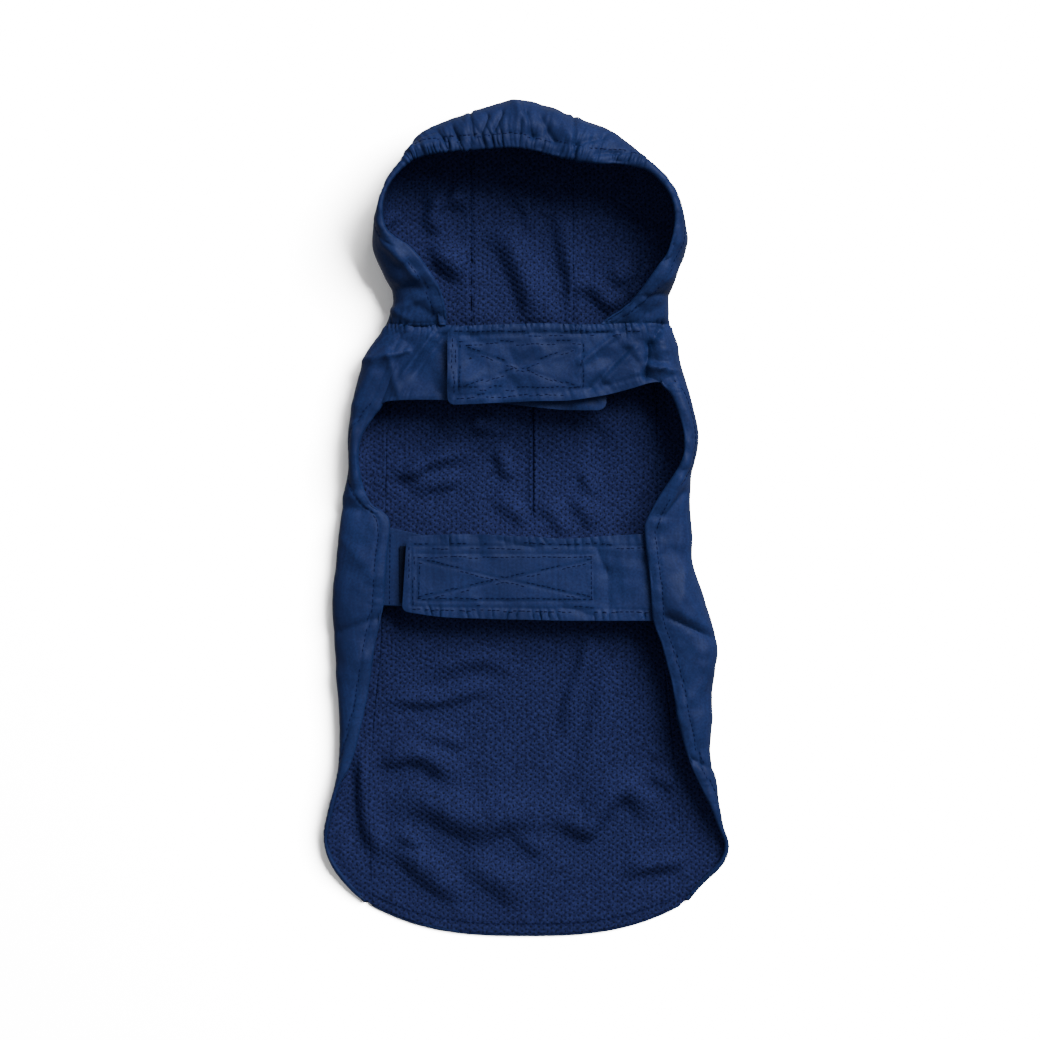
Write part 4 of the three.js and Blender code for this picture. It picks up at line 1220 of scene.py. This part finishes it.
@dataclass
class SidePanel:
    """A side panel with its neck band, leg opening and tail flap."""

    side: Side
    finishes: Finishes
    squareness: float = 2.2
    columns: int = 64
    cuts: int = 13  # steps from one section to the next
    band_cuts: int = 22
    corner: float = 4.0
    tree: BVHTree | None = None
    band_lines: tuple = ()

    def __post_init__(self) -> None:
        """Works out the surface between shell and lining."""
        last = len(SIDE_SECTIONS[self.side]) - 1
        self.t = row_positions(last, lambda i: self.cuts)
        self.shares = np.linspace(0, 1, self.columns)
        self.points, self.lengths = self.surface(self.t, self.shares)
        self.normals = normals_of(self.points)
        self.flat = flat_cut(self.points, self.lengths, self.shares)
        self.edge = self.lengths[:, None] * (1 - self.shares)
        self.along = cumulative(self.points[:, -1])

    def surface(self, t: np.ndarray, shares: np.ndarray) -> tuple[np.ndarray, np.ndarray]:
        """Points at the given rows and shares, and each row's length."""
        rows = along_rows(SIDE_SECTIONS[self.side], t)
        x = seam_x(self.side, rows[:, 0])
        start = np.stack([x - self.side.value * SEAM_LAP, rows[:, 0], np.full_like(x, TABLE_CLEAR)], axis=1)
        points, lengths = section_surface(start, rows, self.squareness, shares)
        points[..., 1] = np.minimum(points[..., 1], NECK_Y)
        return points, lengths

    def band(self) -> tuple[np.ndarray, np.ndarray]:
        """The band's points from root to end, on the shell's middle, and its share of each strip."""
        root = self.t <= BAND_ROOT_ROWS
        start = (self.points + self.normals * SHELL_MIDDLE)[root, -1]
        share = self.points[0, -1, 1] - self.points[root, -1, 1]
        share = share / share[-1]
        band = NECK_BAND[self.side]
        steps = row_positions(len(band) - 1, lambda i: self.band_cuts)
        top, bottom = strip_edges(band, steps)
        run = cumulative((top + bottom) / 2)
        inset = unit(bottom - top) * corner_inset(run[-1] - run, self.corner)[:, None]
        top, bottom = top + inset, bottom - inset
        points = top[:, None] + (bottom - top)[:, None] * share[None, :, None]
        points[..., 2] += SHELL_MIDDLE
        keep = np.clip(1 - steps, 0, 1) ** 2
        points += keep[:, None, None] * (start - points[0])[None]
        points[..., 1] = np.minimum(points[..., 1], NECK_Y)
        points[0] = start
        return points, share

    def relief(self, spots: Spots) -> np.ndarray:
        """The shell's creases, its puckered band edges, hem and stitch grooves."""
        points, edge = spots.points, spots.edge
        groove = -0.4 * bell(edge - 5, 0.8) + 0.25 * bell(edge - 2.4, 1.6)
        lift = np.where(edge >= 0, groove, 0)
        lift += 0.3 * gathers(points, spots.along, 4.1, 4.0) * bell(edge - 4, 3.2)
        lift *= fade(points[:, 2] - 3, 4)
        off_seam = np.maximum(NECK_Y - points[:, 1], 0)
        top = 1.3 * gathers(points, points[:, 0], 3.1, 7.0) * np.exp(-off_seam / 3.2)
        top = top - 0.4 * np.exp(-off_seam)
        top += stitched(points, self.band_lines, 0.45)
        return shell_relief(spots) + lift + top * fade(points[:, 2] - 10, 5)

    def build(self) -> None:
        """Makes shell and lining."""
        self.build_shell()
        self.build_lining()

    def build_shell(self) -> None:
        """Makes the shell: panel, neck band and turned hem in one."""
        cloth = Cloth(f"side_panel_{self.side.name.lower()}")
        above = self.points + self.normals * SHELL_MIDDLE
        cloth.add_grid(above, self.normals, self.flat, self.edge, self.along)
        band, share = self.band()
        width = np.linalg.norm(band[:, -1] - band[:, 0], axis=1)
        run = cumulative(band[:, len(share) // 2])
        inward = np.minimum(share, 1 - share)[None] * width[:, None]
        inward = np.minimum(inward, (run[-1] - run)[:, None])
        root = (1 - np.clip(run / 12, 0, 1))[:, None] * 6
        flat = np.stack([np.broadcast_to(run[:, None], band.shape[:2]), share[None] * width[:, None]], axis=2)
        cloth.add_grid(band, np.array((0, 0, 1)), flat + (300.0, 0.0), inward + root, run)
        free = self.t >= BAND_ROOT_ROWS
        leg = fade(LEG_LAST_ROW[self.side] - self.t[free], 1.0)
        low = LINING_MIDDLE + (HEM_TURN - LINING_MIDDLE) * leg
        back = 0.4 + 4.0 * leg
        hem, facing, past = hem_strip(self.points[free], self.normals[free], self.lengths[free], low, back)
        flat = self.flat[free, -1:] + past[..., None] * (-self.side.value, 0)
        cloth.add_grid(hem, facing, flat, past, self.along[free])
        cloth.weld()
        area = cloth.cut_area()
        cloth.relieve(self.relief)
        self.tree = cloth.tree()
        piece = cloth.finish(SHELL_CLOTH, self.finishes.shell, rounded=True)
        node = f"shell_side_{self.side.name.lower()}"
        declare(piece, node, area)

    def build_lining(self) -> None:
        """Makes the lining, up to the hem."""
        shares = np.linspace(0, 1, 46)
        t = row_positions(len(SIDE_SECTIONS[self.side]) - 1, lambda i: 10)
        points, lengths = self.surface(t, shares)
        points, lengths = even_out(points, shares * (1 - 0.6 / lengths.mean()))
        normals = normals_of(points)
        edge = lengths[:, None] * (1 - shares)
        name = f"side_lining_{self.side.name.lower()}"
        cloth = lining_cloth(name, points, normals, flat_cut(points, lengths, shares), edge)
        area = cloth.cut_area()
        cloth.relieve(self.lining_relief)
        piece = cloth.finish(LINING_CLOTH, self.finishes.lining)
        node = f"lining_side_{self.side.name.lower()}"
        declare(piece, node, area)

    def lining_relief(self, spots: Spots) -> np.ndarray:
        """The lining's own folds, pushed inwards, and the troughs of the shell round it."""
        points = spots.points
        lift = stay_above(folded(points, LINING_FOLDS) + 0.7 + 0.8 * crumple(points, 26, 1.0))
        lift += billowed(points)
        lift *= (0.1 + 0.9 * fade(spots.edge - 3, 8)) * (0.3 + 0.7 * fade(12 - points[:, 2], 8))
        return np.minimum(shell_relief(spots), 0) - lift

    def sew(self, stitches: Stitches) -> None:
        """Topstitches leg opening and tail flap."""
        level = self.normals[:, -3, 2] > 0.3
        free = (self.t >= BAND_ROOT_ROWS) & (self.lengths > 12) & level
        path = stitch_path(self.points[free], self.normals[free], self.lengths[free], HEM_STITCH)
        stitches.lay(path, self.tree, STITCH_CLEAR)
        for line in self.band_lines:
            z = NECK_BAND[self.side][4].z + 4
            stitches.lay(level_line(line, z), self.tree, STITCH_CLEAR)


@dataclass
class Hood:
    """The hood: three panels of shell and three of lining, its brim gathered on elastic."""

    finishes: Finishes
    squareness: float = 3.6
    brim_cuts: int = 46
    other_cuts: int = 13
    gather_mm: float = 2.3
    casing: float = 6.0  # stitch line of the elastic's casing, from the edge
    neck_drop: float = 1.7  # the shell dips under the neck bands
    tree: BVHTree | None = None

    def surface(self, t: np.ndarray, shares: np.ndarray) -> tuple[np.ndarray, np.ndarray]:
        """Points at the given rows and shares, and each row's length."""
        rows = along_rows(HOOD_SECTIONS, t)
        origin = np.interp(t, np.arange(len(HOOD_SECTIONS)), [row.seam_y for row in HOOD_SECTIONS])
        start = np.stack([np.zeros_like(origin), origin, np.full_like(origin, TABLE_CLEAR)], axis=1)
        points, lengths = section_surface(start, rows, self.squareness, shares)
        points[..., 1] = np.maximum(points[..., 1], NECK_Y)
        return points, lengths

    def positions(self, brim: int, other: int) -> np.ndarray:
        """Positions round the hood, closer together along the brim."""
        first, last = BRIM_ROWS
        return row_positions(len(HOOD_SECTIONS) - 1, lambda i: brim if first <= i < last else other)

    def relief(self, spots: Spots) -> np.ndarray:
        """Creases, the gathers of brim and neck, and the seams."""
        points, edge, along = spots.points, spots.edge, spots.along
        inside = np.maximum(edge, 0)
        brim = fade(points[:, 1] - 179, 7) * (0.25 + 0.75 * np.abs(spots.normals[:, 2]))
        drawn = 0.75 * gathers(points, along, self.gather_mm, 9.0) * np.exp(-inside / 5)
        drawn += 1.0 * gathers(points, along, 2.3 * self.gather_mm, 2.0) * np.exp(-inside / 9)
        drawn += 1.2 * gathers(points, along, 5.6 * self.gather_mm, 5.0) * np.exp(-inside / 16)
        drawn *= 1.75 * (0.45 + 0.55 * fade(inside, 3))
        casing = -bell(edge - self.casing, 0.9) * (edge >= 0)
        lift = shell_relief(spots) + brim * (drawn + 0.5 * casing)
        plain = 0.25 * gathers(points, along, 4.4, 3.0) * np.exp(-inside / 5)
        lift += (1 - brim) * fade(points[:, 2] - 8, 6) * (plain + 0.35 * casing)
        off_seam = np.maximum(points[:, 1] - NECK_Y, 0)
        ruffle = 1.5 * gathers(points, points[:, 0], 3.1, 7.0) * np.exp(-off_seam / 4.5)
        ruffle -= self.neck_drop * np.exp(-off_seam / 2.5)
        lift += ruffle * fade(points[:, 2] - 10, 5)
        for x in HOOD_SEAMS:
            aside = np.abs(points[:, 0] - x)
            lift += (0.5 * bell(aside - 2, 1.6) - 0.5 * bell(aside, 0.8)) * fade(
                points[:, 2] - 4, 6
            )
        return lift

    def lining_relief(self, spots: Spots) -> np.ndarray:
        """Folds of the lining and its two seams, and the troughs of the shell round it."""
        points = spots.points
        lift = folded(points, HOOD_LINING_FOLDS) + 0.9
        lift = stay_above(lift + 0.8 * crumple(points, 24, 4.0) + 0.3 * crumple(points, 9, 1.0))
        for x in HOOD_SEAMS:
            aside = np.abs(points[:, 0] - x)
            lift += 0.35 * bell(aside - 1.8, 1.4) - 0.7 * bell(aside, 0.7)
        margin = fade(spots.edge - 2, 7) * (0.25 + 0.75 * fade(points[:, 1] - NECK_Y, 5))
        lift *= (0.1 + 0.9 * margin) * (0.45 + 0.55 * fade(20 - points[:, 2], 12))
        return np.minimum(shell_relief(spots), 0) - lift

    def build(self) -> None:
        """Makes the six panels."""
        self.build_shell()
        self.build_lining()

    def build_shell(self) -> None:
        """Makes the shell with its gathered brim and turned edge, and parts it at its seams."""
        t = self.positions(self.brim_cuts, self.other_cuts)
        shares = np.concatenate([np.linspace(0, 0.5, 14)[:-1], np.linspace(0.5, 1, 62)])
        points, lengths = self.surface(t, shares)
        normals = normals_of(points)
        edge = lengths[:, None] * (1 - shares)
        along = cumulative(points[:, -1])
        flat = flat_cut(points, lengths, shares)
        under = points[..., 1] < NECK_Y + 0.05
        points[..., 1] -= NECK_LAP * under
        cloth = Cloth("hood_shell")
        cloth.add_grid(points + normals * SHELL_MIDDLE, normals, flat, edge, along)
        low, back = np.full(len(t), HEM_TURN), np.full(len(t), self.casing)
        hem, facing, past = hem_strip(points, normals, lengths, low, back)
        cloth.add_grid(hem, facing, flat[:, -1:] + past[..., None] * (0, 1), past, along)
        cloth.weld()
        area = cloth.cut_area()
        cloth.relieve(self.relief)
        self.tree = cloth.tree()
        self.part(cloth, "shell", SHELL_CLOTH, self.finishes.shell, "shell_cloth", area)

    def build_lining(self) -> None:
        """Makes the lining and parts it at its seams."""
        t = self.positions(18, 15)
        shares = np.linspace(0, 1, 92)
        points, lengths = self.surface(t, shares)
        points, lengths = even_out(points, shares * (1 - 1.2 / lengths.mean()))
        normals = normals_of(points)
        edge = lengths[:, None] * (1 - shares)
        cloth = lining_cloth("hood_lining", points, normals, flat_cut(points, lengths, shares), edge)
        area = cloth.cut_area()
        cloth.relieve(self.lining_relief)
        self.part(cloth, "lining", LINING_CLOTH, self.finishes.lining, "mesh_lining", area)

    def part(self, cloth: Cloth, layer: str, thickness: float, material: bpy.types.Material, slot: str,
             area: float) -> None:
        """Parts a layer into its left, centre and right panel."""
        far, lap = 300.0, SEAM_LAP
        left, right = HOOD_SEAMS
        cuts = {"left": (-far, left + lap), "centre": (left - lap, right + lap), "right": (right - lap, far)}
        whole = cloth.cut_area()
        for name, (low, high) in cuts.items():
            panel = cloth.between(f"hood_{layer}_panel_{name}", low, high)
            share = panel.cut_area() / whole
            piece = panel.finish(thickness, material)
            declare(piece, f"hood_{layer}_{name}", area * share)

    def sew(self, stitches: Stitches) -> None:
        """Topstitches the casing round the hood's edge."""
        t = self.positions(10, 10)
        points, lengths = self.surface(t, np.linspace(0, 1, 60))
        path = stitch_path(points, normals_of(points), lengths, self.casing)
        stitches.lay(path[4:-4], self.tree, STITCH_CLEAR)


@dataclass
class BellyClosure:
    """The belly strap and the stub that it closes on."""

    finishes: Finishes
    strap_cloth: float = 1.4
    stitch_clear: float = 0.78
    corner: float = 3.0
    tree: BVHTree | None = None
    stub_tree: BVHTree | None = None

    def grid(self, table: Sequence[Strip], per_row: int, across: int, end: int) -> tuple[np.ndarray, ...]:
        """A strap's grid.

        Args:
            table: its places.
            per_row: steps from one place to the next.
            across: points across it.
            end: 0 where the table's start is the free end, 1 where its end is.

        Returns:
            Its points, its outward direction, its flat cut, and distances from its edge and along it.
        """
        top, bottom = strip_edges(table, row_positions(len(table) - 1, lambda i: per_row))
        run = cumulative((top + bottom) / 2)
        inset = unit(bottom - top) * corner_inset(abs(end - run / run[-1]) * run[-1], self.corner)[:, None]
        top, bottom = top + inset, bottom - inset
        share = np.linspace(0, 1, across)
        points = top[:, None] + (bottom - top)[:, None] * share[None, :, None]
        width = np.linalg.norm(bottom - top, axis=1)[:, None]
        edge = np.minimum(np.minimum(share, 1 - share) * width, abs(end * run[-1] - run)[:, None])
        return points, np.array((0, 0, 1)), points[..., :2], edge, run

    def lines(self) -> list[tuple[float, float, float, float]]:
        """The strap's stitch rows."""
        return box_lines(BELLY_BOX, 1.0) + [
            (-59, -15, 68, -15), (-60, -46.5, -45, -47), (-45, -47, 70, -48.5), (-60, -15, -60.5, -46),
        ]

    def relief(self, spots: Spots) -> np.ndarray:
        """The strap's puckered edges, the tape's raised box and the stitch grooves."""
        points, edge = spots.points, spots.edge
        box = BELLY_BOX
        inside = np.minimum.reduce([
            points[:, 0] - box.left, box.right - points[:, 0],
            points[:, 1] - box.bottom, box.top - points[:, 1],
        ])
        lift = 0.35 * fade(inside + 1, 2)
        lift += 1.2 * facets(points, 12, 6) * (1 - 0.75 * fade(inside, 4)) + 0.12 * crumple(points, 7, 2.0)
        pucker = gathers(points, points[:, 0] + 0.25 * points[:, 1], 4.4, 3.0)
        lift += 0.8 * pucker * bell(edge - 2.2, 3.2) * fade(spots.along - 5, 9)
        lift += creased(points, STRAP_CREASES)
        return lift + stitched(points, self.lines(), 0.35)

    def build(self) -> None:
        """Makes strap and stub."""
        cloth = Cloth("closing_strap")
        cloth.add_grid(*self.grid(BELLY_STRAP, 30, 58, end=0))
        area = cloth.cut_area()
        cloth.weld().relieve(self.relief)
        self.tree = cloth.tree()
        piece = cloth.finish(self.strap_cloth, self.finishes.shell, rounded=True)
        declare(piece, "belly_strap", area)
        cloth = Cloth("closing_stub")
        cloth.add_grid(*self.grid(BELLY_UNDERLAP, 16, 36, end=1))
        area = cloth.cut_area()
        cloth.weld().relieve(lambda spots: 0.6 * facets(spots.points, 14, 2) * np.exp(-spots.edge / 5))
        self.stub_tree = cloth.tree()
        piece = cloth.finish(self.strap_cloth, self.finishes.shell, rounded=True)
        declare(piece, "belly_underlap", area)

    def sew(self, stitches: Stitches) -> None:
        """Topstitches the strap."""
        for line in self.lines():
            stitches.lay(level_line(line, 26), self.tree, self.stitch_clear)
        stitches.lay(level_line((-71.6, -8, -72, -46), 16), self.stub_tree, self.stitch_clear)


@dataclass
class Tapes:
    """The hook and loop tapes between the closures' layers."""

    finishes: Finishes
    thickness: float = 1.3
    tucked: float = 2.6  # how much of the belly's loop tape is folded in at its visible end

    def build(self) -> None:
        """Makes the four tapes on their CAD solids' places."""
        for node in ("neck_hook_tape", "neck_loop_tape", "belly_hook_tape", "belly_loop_tape"):
            low, high = (Vector(corner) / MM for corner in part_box(node))
            if node == "belly_loop_tape":
                low.x += self.tucked
            self.build_tape(node, low, high)

    def build_tape(self, node: str, low: Vector, high: Vector) -> None:
        """Makes one tape, as a grid that follows the height of its strap."""
        table = NECK_BAND[Side.LEFT] if node.startswith("neck") else BELLY_UNDERLAP
        middle = [(row.top_x + row.bottom_x) / 2 for row in table]
        heights = [row.z for row in table]
        columns, rows = 60, 18
        x = np.linspace(low.x, high.x, columns)
        rise = np.interp(x, middle, heights)
        rise = rise - rise.mean() + (low.z + high.z) / 2
        y = np.linspace(high.y, low.y, rows)
        grid = np.empty((columns, rows, 3))
        grid[..., 0], grid[..., 1], grid[..., 2] = x[:, None], y[None], rise[:, None]
        inward = np.minimum(y[0] - y, y - y[-1])[None] + np.zeros((columns, 1))
        cloth = Cloth(f"sewn_{node}")
        cloth.add_grid(grid, np.array((0, 0, 1)), grid[..., :2], inward, np.zeros(columns))
        area = cloth.cut_area()
        cloth.weld()
        piece = cloth.finish(self.thickness, self.finishes.tape, rounded=True)
        declare(piece, node, area)


@dataclass
class Studio:
    """White table, soft light from the upper right, and the camera straight above."""

    camera_height: float = 1600.0
    view_width: float = 551.2
    camera_x: float = -3.2
    camera_y: float = -1.3
    key_watts: float = 285.0
    table_watts: float = 2500.0
    surround: float = 0.62
    key_place: tuple[float, float, float] = (1.3, 1.75, 2.15)
    table_light_place: tuple[float, float, float] = (1.9, 0.95, 2.2)

    def build(self) -> None:
        """Makes table, lights and camera."""
        table = self.build_table()
        self.build_lights(table)
        self.build_camera()

    def build_table(self) -> bpy.types.Object:
        """Makes the table, which throws no coloured or white light back on the coat."""
        bm = bmesh.new()
        bmesh.ops.create_grid(bm, x_segments=8, y_segments=8, size=3.0)
        mesh = bpy.data.meshes.new("table")
        bm.to_mesh(mesh)
        material, _, shader = new_material("white_laminate", 0.9, 0.1)
        shader.inputs["Base Color"].default_value = linear("#FBFBFB")
        mesh.materials.append(material)
        table = bpy.data.objects.new("table", mesh)
        table.visible_diffuse = False
        table.visible_glossy = False
        bpy.context.scene.collection.objects.link(table)
        return table

    def build_lights(self, table: bpy.types.Object) -> None:
        """Makes a large soft light, one more of its kind for the table alone, and a dim surround."""
        self.area_light("window_light", self.key_place, 1.8, self.key_watts)
        lamp = self.area_light("table_light", self.table_light_place, 2.0, self.table_watts)
        only_table = bpy.data.collections.new("lit_by_table_light")
        only_table.objects.link(table)
        lamp.light_linking.receiver_collection = only_table
        world = bpy.data.worlds.new("surround")
        world.use_nodes = True
        world.node_tree.nodes["Background"].inputs["Color"].default_value = (1, 1, 1, 1)
        world.node_tree.nodes["Background"].inputs["Strength"].default_value = self.surround
        bpy.context.scene.world = world

    def area_light(self, name: str, place: Sequence[float], size: float, watts: float) -> bpy.types.Object:
        """Makes a square light that looks at the coat."""
        light = bpy.data.lights.new(name, "AREA")
        light.size = size
        light.energy = watts
        lamp = bpy.data.objects.new(name, light)
        lamp.location = place
        lamp.rotation_euler = (-Vector(place)).to_track_quat("-Z", "Y").to_euler()
        bpy.context.scene.collection.objects.link(lamp)
        return lamp

    def build_camera(self) -> None:
        """Makes the camera over the coat, its view as wide as the picture."""
        data = bpy.data.cameras.new("camera")
        data.sensor_fit = "HORIZONTAL"
        data.angle = 2 * math.atan(self.view_width / 2 / self.camera_height)
        camera = bpy.data.objects.new("camera", data)
        camera.location = (self.camera_x * MM, self.camera_y * MM, self.camera_height * MM)
        bpy.context.scene.collection.objects.link(camera)
        bpy.context.scene.camera = camera


def main() -> None:
    """Builds the coat and its surroundings."""
    logging.basicConfig(level=logging.INFO, format="%(name)s: %(message)s")
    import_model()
    Studio().build()
    finishes = Finishes(
        CoatedPolyester().build(), KnitMesh().build(), ClosureTape().build(), SewingThread().build()
    )
    back = BackPanel(finishes)
    left = SidePanel(Side.LEFT, finishes)
    right = SidePanel(Side.RIGHT, finishes, band_lines=neck_lines())
    hood = Hood(finishes)
    belly = BellyClosure(finishes)
    for part in (back, left, right, hood, belly, Tapes(finishes)):
        part.build()
    stitches = Stitches("topstitching")
    for part in (back, left, right, hood, belly):
        part.sew(stitches)
    stitches.finish(finishes.thread)


if __name__ == "__main__":
    main()
